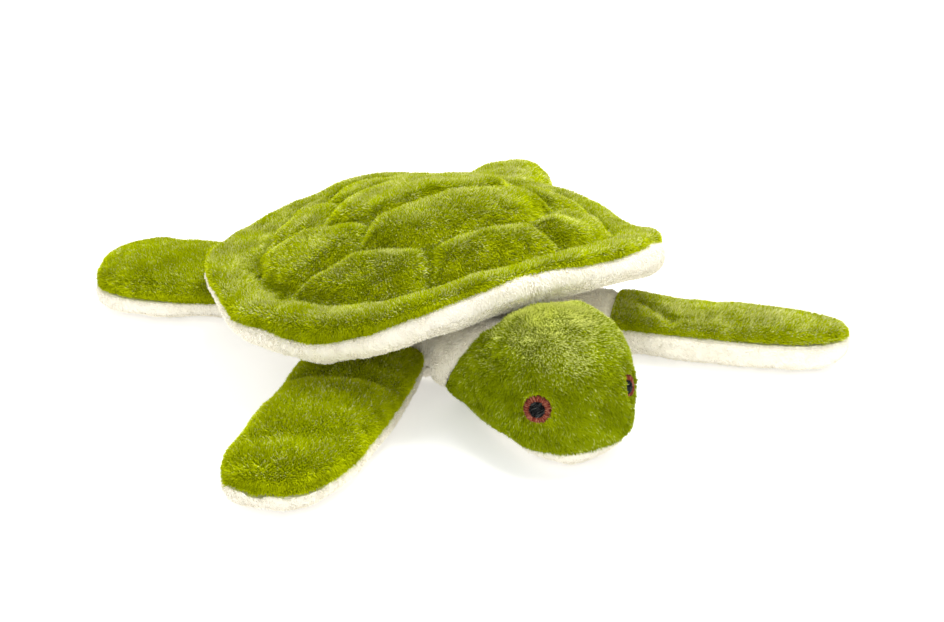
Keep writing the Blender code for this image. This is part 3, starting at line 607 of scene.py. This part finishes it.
def parted(mesh, field, name, sunk_wall=False):
    """The closed part of a form where the field is positive; its inner wall is bare.

    A sunk wall dips from the seam into the middle of the form, clear of both its sides.
    """
    bm = bmesh.new()
    bm.from_mesh(mesh)
    kept = bm.verts.layers.float_vector.new("kept place")
    for vertex, value in zip(bm.verts, field):
        vertex[kept] = vertex.co
        vertex.co.z = value
    geometry = bm.verts[:] + bm.edges[:] + bm.faces[:]
    bmesh.ops.bisect_plane(bm, geom=geometry, dist=MERGE, plane_co=(0, 0, 0),
                           plane_no=(0, 0, 1), clear_inner=True)
    for vertex in bm.verts:
        vertex.co = vertex[kept]
    bm.verts.layers.float_vector.remove(kept)
    rim = [edge for edge in bm.edges if edge.is_boundary]
    wall = []
    if sunk_wall:
        made = bmesh.ops.extrude_edge_only(bm, edges=rim)["geom"]
        wall += [face for face in made if isinstance(face, bmesh.types.BMFace)]
        ring = [vertex for vertex in made if isinstance(vertex, bmesh.types.BMVert)]
        lowest = min(vertex.co.z for vertex in ring)
        for vertex in ring:
            vertex.co.x *= WALL_SHARE
            vertex.co.y *= WALL_SHARE
            vertex.co.z = lowest - WALL_DROP + WALL_LEVELLING * (vertex.co.z - lowest)
        rim = [edge for edge in bm.edges if edge.is_boundary]
    wall += bmesh.ops.holes_fill(bm, edges=rim, sides=0)["faces"]
    for face in wall:
        face.material_index = 1
    bmesh.ops.triangulate(bm, faces=wall)
    bm.normal_update()
    return mesh_of(bm, name)


# Pile

def combed(normals, nap):
    """The direction of the nap, laid into the surface at each normal."""
    return unit(nap - normals * (nap * normals).sum(axis=1)[:, None])


def bake_map(points, normals):
    """A map that lays a piece out flat, seen from above or below, with its sides out."""
    spread = points[:, :2] + normals[:, :2] * MAP_UNROLL
    low = spread.min(axis=0)
    size = (spread.max(axis=0) - low).max()
    return (spread - low) / size


def clumped(roots, tips, seed):
    """Draw the tips of neighbouring tufts together."""
    pile = settings().pile
    rng = numpy.random.default_rng(seed)
    leaders = rng.choice(len(roots), max(1, len(roots) // pile.clump_size), replace=False)
    tree = KDTree(len(leaders))
    for index, leader in enumerate(leaders):
        tree.insert(roots[leader], index)
    tree.balance()
    nearest = numpy.array([tree.find(root)[1] for root in roots])
    return tips + (tips[leaders[nearest]] - tips) * pile.clump


def grow_pile(mesh, nap, length, lean, painted_glints, seed, fine, trimmed=None):
    """Raise one leaning tuft on every face that isn't part of the bare inner wall.

    A fine pile has two tufts on each square of the cloth's grid. trimmed gives each tuft's
    share of the length, and how much of its tip's colour is kept clear of the root's painted
    shade.
    """
    pile = settings().pile
    rng = numpy.random.default_rng(seed)
    bm = bmesh.new()
    bm.from_mesh(mesh)
    if fine:
        bmesh.ops.triangulate(bm, faces=bm.faces[:])
        bm.to_mesh(mesh)
    bare = numpy.empty(len(mesh.polygons), int)
    mesh.polygons.foreach_get("material_index", bare)
    centres = vectors_of(mesh.polygons, "center")[bare == 0]
    facing = vectors_of(mesh.polygons, "normal")[bare == 0]
    flat_map = bake_map(numpy.vstack((points_of(mesh), centres)),
                        numpy.vstack((normals_of(mesh), facing)))

    count = len(bm.verts)
    bmesh.ops.poke(bm, center_mode="MEAN",
                   faces=[face for face in bm.faces if not face.material_index])
    bm.to_mesh(mesh)
    bm.free()

    lean_way = combed(facing, nap)
    side_way = numpy.cross(facing, lean_way)
    stray = pile.stray * (ripple(centres, pile.patch, seed + 1)
                          + rng.normal(0.0, 1.0, len(centres)))
    way = lean_way * numpy.cos(stray)[:, None] + side_way * numpy.sin(stray)[:, None]
    lean = lean * (1.0 + PATCH_LEAN * ripple(centres, pile.patch, seed + 2)
                   + rng.normal(0.0, TUFT_LEAN, len(centres)))
    height = length * rng.uniform(SHORTEST, LONGEST, len(centres))
    tip_lit = numpy.ones(len(centres))
    if trimmed is not None:
        trim, tip_lit = trimmed(centres)
        height *= trim
    tips = (centres + facing * (height * numpy.cos(lean))[:, None]
            + way * (height * numpy.sin(lean))[:, None])
    points = points_of(mesh)
    assert numpy.allclose(points[count:], centres, atol=0.2 * MM)
    points[:count] += rng.normal(0.0, pile.scatter, (count, 3))
    points[count:] = clumped(centres, tips, seed + 3)
    points[:, 2] = numpy.maximum(points[:, 2], LYING)
    place(mesh, points)

    # Pile share runs from 0 at a tuft's root to 1 at its tip; the material darkens the roots with
    # painted shade deep in the pile
    share = mesh.attributes.new("pile share", "FLOAT", "POINT")
    share.data.foreach_set("value", numpy.r_[numpy.zeros(count), tip_lit])
    # Painted glints: a share of the tufts get light tips, most where the plush faces up, as
    # painted highlights
    lit_glints = 1 - pile.painted_glints * (1 - numpy.clip(facing[:, 2], 0, 1) ** GLINT_POWER)
    lit_glints *= painted_glints * (1 + GLINT_PATCHES * ripple(centres, 2 * pile.patch, seed + 4))
    chance = rng.uniform(0.0, 1.0, len(tips))
    glint = numpy.clip((GLINT_TUFTS * lit_glints - chance) / GLINT_EDGE, 0, 1)
    shade = mesh.attributes.new("tuft shade", "FLOAT", "POINT")
    shade.data.foreach_set("value", numpy.r_[numpy.zeros(count), glint])
    corners = numpy.empty(len(mesh.loops), int)
    mesh.loops.foreach_get("vertex_index", corners)
    uv = mesh.uv_layers.new(name="OFBake")
    uv.data.foreach_set("uv", flat_map[corners].astype(numpy.float32).ravel())
    mesh.polygons.foreach_set("material_index", numpy.zeros(len(mesh.polygons), int))
    return mesh


def outwards(body):
    """The level way from the torso through a limb's hinge."""
    return Vector(HINGES[body]["axis"]).cross(UP) * -1.0


def show(mesh, name, nodes, body, slot):
    """The finished piece in the scene, standing for its nodes in the model."""
    mesh.name = name
    mesh.materials.clear()
    mesh.materials.append(finish(slot))
    thing = bpy.data.objects.new(name, mesh)
    bpy.context.scene.collection.objects.link(thing)
    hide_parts(*nodes)
    if body in HINGES:
        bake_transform(thing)
    else:
        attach(thing, body)
    return thing


# Materials

def socket(group, name, kind, direction, default=None):
    made = group.interface.new_socket(name=name, in_out=direction, socket_type=kind)
    if default is not None:
        made.default_value = default
    return made


def pile_group():
    """Node group: the colour of a tuft or stitch from root to tip, darker at the root as painted
    shade, with painted glints on some tips, uneven in patches.
    """
    name = "Pile colour"
    if name in bpy.data.node_groups:
        return bpy.data.node_groups[name]
    group = bpy.data.node_groups.new(name, "ShaderNodeTree")
    socket(group, "Root", "NodeSocketColor", "INPUT", (0.1, 0.1, 0.1, 1.0))
    socket(group, "Tip", "NodeSocketColor", "INPUT", (0.5, 0.5, 0.5, 1.0))
    socket(group, "Pale", "NodeSocketColor", "INPUT", (0.8, 0.8, 0.8, 1.0))
    socket(group, "Root reach", "NodeSocketFloat", "INPUT", 1.0)
    socket(group, "Unevenness", "NodeSocketFloat", "INPUT", 0.3)
    socket(group, "Patch scale", "NodeSocketFloat", "INPUT", 55.0)
    socket(group, "Colour", "NodeSocketColor", "OUTPUT")
    link = group.links.new
    inputs = group.nodes.new("NodeGroupInput")
    outputs = group.nodes.new("NodeGroupOutput")

    def attribute(label):
        node = group.nodes.new("ShaderNodeAttribute")
        node.attribute_name = label
        return node.outputs["Fac"]

    def mixed(factor, low, high):
        node = group.nodes.new("ShaderNodeMix")
        node.data_type = "RGBA"
        link(factor, node.inputs["Factor"])
        sockets = [end for end in node.inputs if end.type == "RGBA"]
        link(low, sockets[0])
        link(high, sockets[1])
        return next(end for end in node.outputs if end.type == "RGBA")

    def arithmetic(operation, *values):
        node = group.nodes.new("ShaderNodeMath")
        node.operation = operation
        for place_in, value in enumerate(values):
            if isinstance(value, float):
                node.inputs[place_in].default_value = value
            else:
                link(value, node.inputs[place_in])
        return node.outputs["Value"]

    # Painted highlights: tips with a glint share take the glint colour
    tip = mixed(attribute("tuft shade"), inputs.outputs["Tip"], inputs.outputs["Pale"])
    # Painted shade: the colour darkens towards the root
    upwards = arithmetic("POWER", attribute("pile share"), inputs.outputs["Root reach"])
    tuft = mixed(upwards, inputs.outputs["Root"], tip)
    coordinates = group.nodes.new("ShaderNodeTexCoord")
    noise = group.nodes.new("ShaderNodeTexNoise")
    noise.inputs["Detail"].default_value = 3.0
    link(coordinates.outputs["Object"], noise.inputs["Vector"])
    link(inputs.outputs["Patch scale"], noise.inputs["Scale"])
    patch = arithmetic("SUBTRACT", noise.outputs["Fac"], 0.5)
    level = arithmetic("MULTIPLY_ADD", patch, inputs.outputs["Unevenness"], 1.0)
    value = group.nodes.new("ShaderNodeHueSaturation")
    link(tuft, value.inputs["Color"])
    link(level, value.inputs["Value"])
    link(value.outputs["Color"], outputs.inputs["Colour"])
    return group


def finish(slot):
    """The material of a slot; its colour runs from the painted shade at a tuft's or stitch's root
    to its tip, whose painted glint colour also tints the sheen.
    """
    name, *names, reach, unevenness, roughness, sheen = FINISHES[slot]
    material = bpy.data.materials.get(name)
    if material:
        return material
    root, tip, glint = ((*getattr(settings().colours, colour), 1.0) for colour in names)
    material = bpy.data.materials.new(name)
    material.use_nodes = True
    tree = material.node_tree
    shader = tree.nodes["Principled BSDF"]
    shader.inputs["Roughness"].default_value = roughness
    shader.inputs["Specular IOR Level"].default_value = GLOSS
    shader.inputs["Sheen Weight"].default_value = sheen
    shader.inputs["Sheen Roughness"].default_value = SHEEN_ROUGHNESS
    shader.inputs["Sheen Tint"].default_value = glint
    colour = tree.nodes.new("ShaderNodeGroup")
    colour.node_tree = pile_group()
    colour.inputs["Root"].default_value = root
    colour.inputs["Tip"].default_value = tip
    colour.inputs["Pale"].default_value = glint
    colour.inputs["Root reach"].default_value = reach
    colour.inputs["Unevenness"].default_value = unevenness
    tree.links.new(colour.outputs["Colour"], shader.inputs["Base Color"])
    return material


# Pieces

def settle(mesh, fields, seed):
    """Lower a form from the pile's surface to the cloth, deeper at its seams."""
    form = settings().form
    pile = settings().pile
    points = points_of(mesh)
    depth = numpy.full(len(points), pile.ground)
    for panel, field in fields.items():
        if panel not in GREEN_PANELS:
            share = numpy.clip(field / form.crease_width + 0.5, 0, 1)
            depth += share * (pile.cream_ground - pile.ground)
    if fields:
        nearest_seam = numpy.abs(list(fields.values())).min(axis=0)
        depth += bell(nearest_seam, form.crease_width) * form.crease
    depth -= ripple(points, form.lump_size, seed) * form.lump
    points -= normals_of(mesh) * depth[:, None]
    place(mesh, points)


def dress_panels(mesh, fields, body, nap, seed, extra, trimmed=None):
    """Part a form along the seams of its panels, and give each part its pile.

    fields holds, for each panel, a value at each point that is above zero in that panel.
    extra names the further nodes that a panel's part stands for.
    """
    pile = settings().pile
    settle(mesh, fields, seed)
    for index, (panel, field) in enumerate(fields.items()):
        part = parted(mesh, field - SEAM_GAP, panel, sunk_wall="shell" in panel)
        green = panel in GREEN_PANELS
        if panel == "head_cover":
            slot, length, lean = "head_plush", pile.green_length, pile.head_lean
        elif green:
            slot, length, lean = "green_plush", pile.green_length, pile.lean
        else:
            slot, length, lean = "cream_plush", pile.cream_length, pile.cream_lean
        grow_pile(part, nap, length, lean, GLINT_SHARES.get(panel, 1.0),
                  seed + PANEL_SEED_STEP * index, green, trimmed)
        show(part, panel + "_plush", [panel, *extra.get(panel, ())], body, slot)


def rim_seam_height(points):
    """Height of the seam round the shell's rim, over each point's place in plan."""
    x = points[:, 0] / SHELL_HALF_WIDTH
    y = points[:, 1] - SHELL_CENTRE_Y
    run = RIM_LIFT_RUN - SHELL_HALF_LENGTH - y
    across = 1.0 - numpy.minimum(1.0, x ** 2)
    lift = RIM_FRONT_LIFT * numpy.maximum(0.0, run / RIM_LIFT_RUN) ** LIFT_POWER * across
    corner = RIM_SIDE_LIFT * numpy.maximum(0.0, x) * numpy.clip(run / RIM_SIDE_RUN, 0.0, 1.0)
    drop = RIM_BACK_DROP * numpy.maximum(0.0, y / SHELL_HALF_LENGTH)
    bearings, moves = zip(*RIM_SEAM_MOVES)
    bearing = numpy.degrees(numpy.arctan2(y / SHELL_HALF_LENGTH, x))
    off = numpy.interp(bearing, bearings, moves) * MM
    return RIM_SEAM_HEIGHT + lift + corner - drop + off


def quilt_lines():
    """The sewn lines of the quilting in plan, each from point to point."""
    def spot(share, side):
        return (side * share[0] * SHELL_HALF_WIDTH,
                SHELL_CENTRE_Y + share[1] * SHELL_HALF_LENGTH)

    corners = QUILT_CORNERS
    lines = [(spot(corners[one], side), spot(corners[other], side))
             for one, other in QUILT_SEAMS for side in (-1, 1)]
    lines += [(spot(corners[name], -1), spot(corners[name], 1)) for name in QUILT_CROSS_SEAMS]
    ring = [spot(share, 1) for share in QUILT_LEFT_RING]
    ring += [spot(share, -1) for share in reversed(QUILT_RIGHT_RING[:-1])]
    lines += list(zip(ring, ring[1:]))
    return lines


def quilted(mesh):
    """Puff the shell's plates between the sewn lines and sink the lines."""
    form = settings().form
    points = points_of(mesh)
    normals = normals_of(mesh)
    away = away_from(points, quilt_lines())
    gain, lost = PLATE_SLOPE
    upward = numpy.clip(normals[:, 2] * gain - lost, 0, 1)
    sunk = bell(away, form.channel_width) * form.channel
    raised = (1 - bell(away, PLATE_EDGE * form.channel_width)) * form.puff
    points += normals * ((raised - sunk) * upward)[:, None]
    place(mesh, points)


class PLUSH_OT_shell(Operator):
    """The quilted shell: a green top and a cream underside."""
    bl_idname = "plush.shell"
    bl_label = "Shell"

    def execute(self, context):
        mesh = finer(stuffed_form("shell", SHELL_NODES, SHELL_SMOOTHING), FINER_LEVELS)
        quilted(mesh)
        relax(mesh, QUILT_SMOOTHING, keep=0.0)
        shaped(mesh, "shell")
        points = points_of(mesh)
        above = points[:, 2] - rim_seam_height(points)
        inside = PANEL_REACH - numpy.hypot(points[:, 0] / SHELL_HALF_WIDTH,
                                           (points[:, 1] - SHELL_CENTRE_Y) / SHELL_HALF_LENGTH)
        above += numpy.sign(normals_of(mesh)[:, 2]) * numpy.maximum(0, inside) * SHELL_HALF_WIDTH
        pucker = [numpy.array(end) * MM for end in FOLDS["shell"][0][:2]]
        lines = quilt_lines()

        def trimmed(points):
            sewn = bell(away_from(points, lines), SEWN_WIDTH) * (points[:, 2] > QUILT_BOTTOM)
            drawn = bell(away_from(points, [pucker]), PUCKER_WIDTH)
            # Along the quilting lines the pile is shorter, and painted shade darkens its tips in
            # the sewn valleys
            return (1 + PUCKER_LONGER * drawn) * (1 - SEWN_SHORTER * sewn), 1 - SEWN_SHADE * sewn

        dress_panels(mesh, {"shell_top_panel": above, "shell_underside": -above}, "torso",
                     SHELL_NAP, settings().pile.seed,
                     {"shell_underside": ("shell_padding",)}, trimmed)
        return {"FINISHED"}


class PLUSH_OT_body(Operator):
    """The cream body under the shell."""
    bl_idname = "plush.body"
    bl_label = "Body"

    def execute(self, context):
        panels = ("body_cover", "belly_panel")
        mesh = stuffed_form("body", (*panels, "body_stuffing"), BODY_SMOOTHING)
        shaped(mesh, "body")
        dress_panels(mesh, seam_fields(mesh, panels), "torso", BODY_NAP,
                     settings().pile.seed + BODY_SEED, {"body_cover": ("body_stuffing",)})
        return {"FINISHED"}


class PLUSH_OT_flippers(Operator):
    """The four flippers, green above and cream below."""
    bl_idname = "plush.flippers"
    bl_label = "Flippers"

    def execute(self, context):
        for index, limb in enumerate(FLIPPERS):
            top, underside, stuffing = (f"{limb}_{part}" for part in
                                        ("top", "underside", "stuffing"))
            mesh = finer(stuffed_form(limb, (top, underside, stuffing), FLIPPER_SMOOTHING),
                         FINER_LEVELS)
            shaped(mesh, limb)
            out = numpy.array(outwards(limb))
            fields = seam_fields(mesh, (top, underside))
            if limb in ROOT_ENDS:
                spot, reach = ROOT_ENDS[limb]
                away = (points_of(mesh)[:, :2] - numpy.array(spot) * MM) @ out[:2]
                fields[top] = numpy.minimum(fields[top], away - reach * MM)
                fields[underside] = -fields[top]
            dress_panels(mesh, fields, limb, FLIPPER_NAP_OUTWARDS * out + FLIPPER_NAP,
                         settings().pile.seed + FLIPPER_SEED + FLIPPER_SEED_STEP * index,
                         {underside: (stuffing,)})
        return {"FINISHED"}


def head_form():
    """The head's stuffed form, which takes in the eyes' places."""
    nodes = (*HEAD_PANELS, "head_stuffing", "iris_left", "iris_right", "pupil_left",
             "pupil_right")
    return shaped(finer(stuffed_form("head", nodes, HEAD_SMOOTHING), FINER_LEVELS), "head")


def eye_frame(side):
    """Matrix of an embroidered eye: its middle, with +Z out of the head."""
    points = points_of(NODES[f"pupil_{side}"].data)
    middle = points.mean(axis=0)
    _, _, axes = numpy.linalg.svd(points - middle)
    out = Vector(axes[2])
    low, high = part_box("head_cover")
    if out.dot(Vector(middle) - (low + high) / 2) < 0:
        out = -out
    eyes = settings().eyes
    middle += eyes.left_shift if side == "left" else eyes.right_shift
    if side == "left":
        out = Matrix.Rotation(eyes.left_tilt, 3, TILT_AXIS) @ out
    turn = out.to_track_quat("Z", "Y").to_matrix().to_4x4()
    return Matrix.Translation(Vector(middle)) @ turn


class PLUSH_OT_head(Operator):
    """The head: a green cover, a cream chin and a cream neck."""
    bl_idname = "plush.head"
    bl_label = "Head"

    def execute(self, context):
        mesh = head_form()
        eyes = settings().eyes
        upstream = Vector(HEAD_NAP).normalized() * -eyes.upstream
        places = [(numpy.array(eye_frame(side).translation + upstream), scale)
                  for side, scale in (("left", eyes.left_scale), ("right", 1.0))]

        def trimmed(points):
            height = numpy.ones(len(points))
            ragged = eyes.margin + ripple(points, CROP_RUN, CROP_SEED) * eyes.jitter
            for eye, scale in places:
                away = numpy.linalg.norm(points - eye, axis=1) - scale * eyes.iris_radius
                height *= numpy.clip((away - ragged) / CROP_RUN, CROPPED, 1.0)
            return height, numpy.ones(len(points))

        dress_panels(mesh, seam_fields(mesh, HEAD_PANELS), "head", HEAD_NAP,
                     settings().pile.seed + HEAD_SEED,
                     {"neck_panel": ("head_stuffing",)}, trimmed)
        return {"FINISHED"}


class Embroidery:
    """Stitches that are laid out flat, +Z out of the cloth, and then sewn to a ground."""

    def __init__(self, seed):
        self.bm = bmesh.new()
        self.share = self.bm.verts.layers.float.new("pile share")
        self.shade = self.bm.verts.layers.float.new("tuft shade")
        self.rng = numpy.random.default_rng(seed)

    def ellipsoid(self, middle, angle, size, rounds, share, shade):
        """A stitch, or the ground sewn under them; its length runs at the angle."""
        turn = Euler((0.0, math.pi / 2, angle))
        matrix = Matrix.LocRotScale(middle, turn, (size[2] / 2, size[1] / 2, size[0] / 2))
        made = bmesh.ops.create_uvsphere(self.bm, u_segments=rounds, v_segments=rounds,
                                         radius=1.0, matrix=matrix)
        for vertex in made["verts"]:
            # Share rises from a stitch's bottom to its top; the material darkens the bottom
            # towards the root's colour, as painted shade
            up = (vertex.co.z - middle.z) / size[2] + 0.5
            vertex[self.share] = share * max(0.0, min(1.0, up))
            vertex[self.shade] = shade

    def stitch(self, start, end, height):
        """One stitch of thread between two places on the flat cloth."""
        eyes = settings().eyes
        along = end - start
        middle = (start + end) / 2
        # Each stitch gets a random painted glint, rarely a strong one
        self.ellipsoid(Vector((middle.x, middle.y, height)), math.atan2(along.y, along.x),
                       (along.length, eyes.thread, eyes.lift), 6, 1.0,
                       float(self.rng.uniform()) ** 4)

    def sewn(self, name, frame, ground):
        """The mesh of all the stitches, laid on the ground under them."""
        out = frame.to_3x3() @ Vector((0.0, 0.0, 1.0))
        for vertex in self.bm.verts:
            high = frame @ Vector((vertex.co.x, vertex.co.y, STITCH_REACH))
            spot, normal, _, _ = ground.ray_cast(high, -out)
            if spot is None:
                raise RuntimeError("an eye's stitches miss the head")
            vertex.co = spot + (normal + out).normalized() * vertex.co.z
        return mesh_of(self.bm, name)


def iris_stitches(seed):
    """A ring of stitches that run from the pupil outwards, on a ground in the deep iris colour,
    which shows as painted shade between the stitches.
    """
    eyes = settings().eyes
    work = Embroidery(seed)
    ground_size = (2 * eyes.iris_radius, 2 * eyes.iris_radius, 0.6 * eyes.lift)
    work.ellipsoid(Vector((0.0, 0.0, 0.0)), 0.0, ground_size, 24, 0.0, 0.0)
    inner = eyes.pupil_radius - eyes.jitter
    for layer, height in enumerate(IRIS_LAYERS):
        for index in range(eyes.stitches):
            angle = 2 * math.pi * (index + 0.5 * layer) / eyes.stitches
            angle += float(work.rng.normal(0.0, 0.025))
            slant = angle + float(work.rng.normal(0.0, 0.12))
            near = inner + float(work.rng.uniform(-0.5, 2.5)) * eyes.jitter
            far = eyes.iris_radius + float(work.rng.uniform(-2.5, 0.8)) * eyes.jitter
            start = Vector((math.cos(slant), math.sin(slant))) * near
            end = Vector((math.cos(angle), math.sin(angle))) * far
            work.stitch(start, end, height * eyes.lift)
    return work


def pupil_stitches(seed):
    """Rows of short stitches that fill the pupil."""
    eyes = settings().eyes
    work = Embroidery(seed)
    radius = eyes.pupil_radius
    work.ellipsoid(Vector((0.0, 0.0, 0.4 * eyes.lift)), 0.0,
                   (1.9 * radius, 1.9 * radius, 0.9 * eyes.lift), 16, 0.0, 0.0)
    turn = Matrix.Rotation(PUPIL_SLANT, 2)
    rows = round(2 * radius / (PUPIL_ROW * eyes.thread))
    for row in range(rows):
        across = radius * (2 * (row + 0.5) / rows - 1)
        half = math.sqrt(radius ** 2 - across ** 2)
        half += float(work.rng.uniform(-0.6, 0.6)) * eyes.jitter
        start = -half
        step = eyes.fill_stitch * (0.5 if row % 2 else 1.0)
        while start < half - 0.2 * eyes.fill_stitch:
            end = min(start + step, half)
            work.stitch(turn @ Vector((start, across)), turn @ Vector((end, across)),
                        eyes.lift * float(work.rng.uniform(0.85, 1.1)))
            start = end
            step = eyes.fill_stitch
    return work


class PLUSH_OT_eyes(Operator):
    """The embroidered eyes: rings of brown stitches round black pupils."""
    bl_idname = "plush.eyes"
    bl_label = "Eyes"

    def execute(self, context):
        eyes = settings().eyes
        mesh = head_form()
        seed = settings().pile.seed + HEAD_SEED
        settle(mesh, {}, seed)
        bm = bmesh.new()
        bm.from_mesh(mesh)
        ground = BVHTree.FromBMesh(bm)
        bm.free()
        bpy.data.meshes.remove(mesh)
        for index, side in enumerate(("left", "right")):
            frame = eye_frame(side)
            scale = eyes.left_scale if side == "left" else 1.0
            for kind, stitches in (("iris", iris_stitches), ("pupil", pupil_stitches)):
                work = stitches(seed + index)
                node = f"{kind}_{side}"
                bmesh.ops.scale(work.bm, vec=(scale, scale, 1.0), verts=work.bm.verts)
                sewn = work.sewn(node, frame, ground)
                for face in sewn.polygons:
                    face.use_smooth = True
                show(sewn, node + "_stitches", [node], "head", kind + "_thread")
        return {"FINISHED"}


class PLUSH_OT_stage(Operator):
    """Floor, light and camera."""
    bl_idname = "plush.stage"
    bl_label = "Studio"

    def execute(self, context):
        studio = settings().studio
        bm = bmesh.new()
        bmesh.ops.create_grid(bm, x_segments=1, y_segments=1, size=4.0)
        floor = bpy.data.objects.new("studio_floor", mesh_of(bm, "studio_floor"))
        context.scene.collection.objects.link(floor)
        floor.data.materials.append(floor_material())

        world = bpy.data.worlds.new("studio")
        world.use_nodes = True
        tree = world.node_tree
        background = tree.nodes["Background"]
        background.inputs["Color"].default_value = (1.0, 1.0, 1.0, 1.0)
        path = tree.nodes.new("ShaderNodeLightPath")
        strength = tree.nodes.new("ShaderNodeMix")
        strength.inputs["A"].default_value = studio.world_light
        strength.inputs["B"].default_value = 1.0
        tree.links.new(path.outputs["Is Camera Ray"], strength.inputs["Factor"])
        tree.links.new(strength.outputs["Result"], background.inputs["Strength"])
        context.scene.world = world

        for lamp, power in zip(LAMPS, (studio.key_power, studio.fill_power)):
            add_lamp(*lamp, power)

        data = bpy.data.cameras.new("camera")
        data.lens = studio.lens
        data.sensor_width = 36.0
        camera = bpy.data.objects.new("camera", data)
        camera.location = studio.camera_place
        aim = Vector(studio.camera_target) - Vector(studio.camera_place)
        camera.rotation_euler = aim.to_track_quat("-Z", "Y").to_euler()
        context.scene.collection.objects.link(camera)
        context.scene.camera = camera
        context.scene.view_settings.view_transform = "Standard"
        return {"FINISHED"}


def floor_material():
    """A plain white floor that still shows the turtle's shadow."""
    material = bpy.data.materials.new("white sweep")
    material.use_nodes = True
    tree = material.node_tree
    shader = tree.nodes["Principled BSDF"]
    shader.inputs["Base Color"].default_value = (0.92, 0.92, 0.92, 1.0)
    shader.inputs["Roughness"].default_value = 0.9
    shader.inputs["Emission Color"].default_value = (1.0, 1.0, 1.0, 1.0)
    shader.inputs["Emission Strength"].default_value = settings().studio.floor_glow
    return material


def add_lamp(name, place_at, target, size, power):
    """A square lamp that faces its target."""
    data = bpy.data.lights.new(name, "AREA")
    data.shape = "SQUARE"
    data.size = size
    data.energy = power
    lamp = bpy.data.objects.new(name, data)
    lamp.location = place_at
    aim = Vector(target) - Vector(place_at)
    lamp.rotation_euler = aim.to_track_quat("-Z", "Y").to_euler()
    bpy.context.scene.collection.objects.link(lamp)


class PlushTurtleSettings(PropertyGroup):
    """All the settings of the turtle's looks."""
    pile: PointerProperty(type=PlushTurtlePile)
    form: PointerProperty(type=PlushTurtleForm)
    colours: PointerProperty(type=PlushTurtleColours)
    eyes: PointerProperty(type=PlushTurtleEyes)
    studio: PointerProperty(type=PlushTurtleStudio)


STEPS = (PLUSH_OT_shell, PLUSH_OT_body, PLUSH_OT_flippers, PLUSH_OT_head, PLUSH_OT_eyes,
         PLUSH_OT_stage)


class PLUSH_PT_turtle(Panel):
    """Lists the steps that dress the turtle, and their settings."""
    bl_label = "Plush turtle"
    bl_idname = "PLUSH_PT_turtle"
    bl_space_type = "VIEW_3D"
    bl_region_type = "UI"
    bl_category = "Plush turtle"

    def draw(self, context):
        layout = self.layout
        for step in STEPS:
            layout.operator(step.bl_idname)
        for group in (settings().pile, settings().form, settings().colours, settings().eyes,
                      settings().studio):
            box = layout.box()
            for name in group.__annotations__:
                box.prop(group, name)


CLASSES = (PlushTurtlePile, PlushTurtleForm, PlushTurtleColours, PlushTurtleEyes,
           PlushTurtleStudio, PlushTurtleSettings, *STEPS, PLUSH_PT_turtle)


def register():
    for cls in CLASSES:
        bpy.utils.register_class(cls)
    bpy.types.Scene.plush_turtle = PointerProperty(type=PlushTurtleSettings)


def unregister():
    del bpy.types.Scene.plush_turtle
    for cls in reversed(CLASSES):
        bpy.utils.unregister_class(cls)


def main():
    register()
    bpy.ops.plush.shell()
    bpy.ops.plush.body()
    bpy.ops.plush.flippers()
    bpy.ops.plush.head()
    bpy.ops.plush.eyes()
    bpy.ops.plush.stage()


if __name__ == "__main__":
    main()
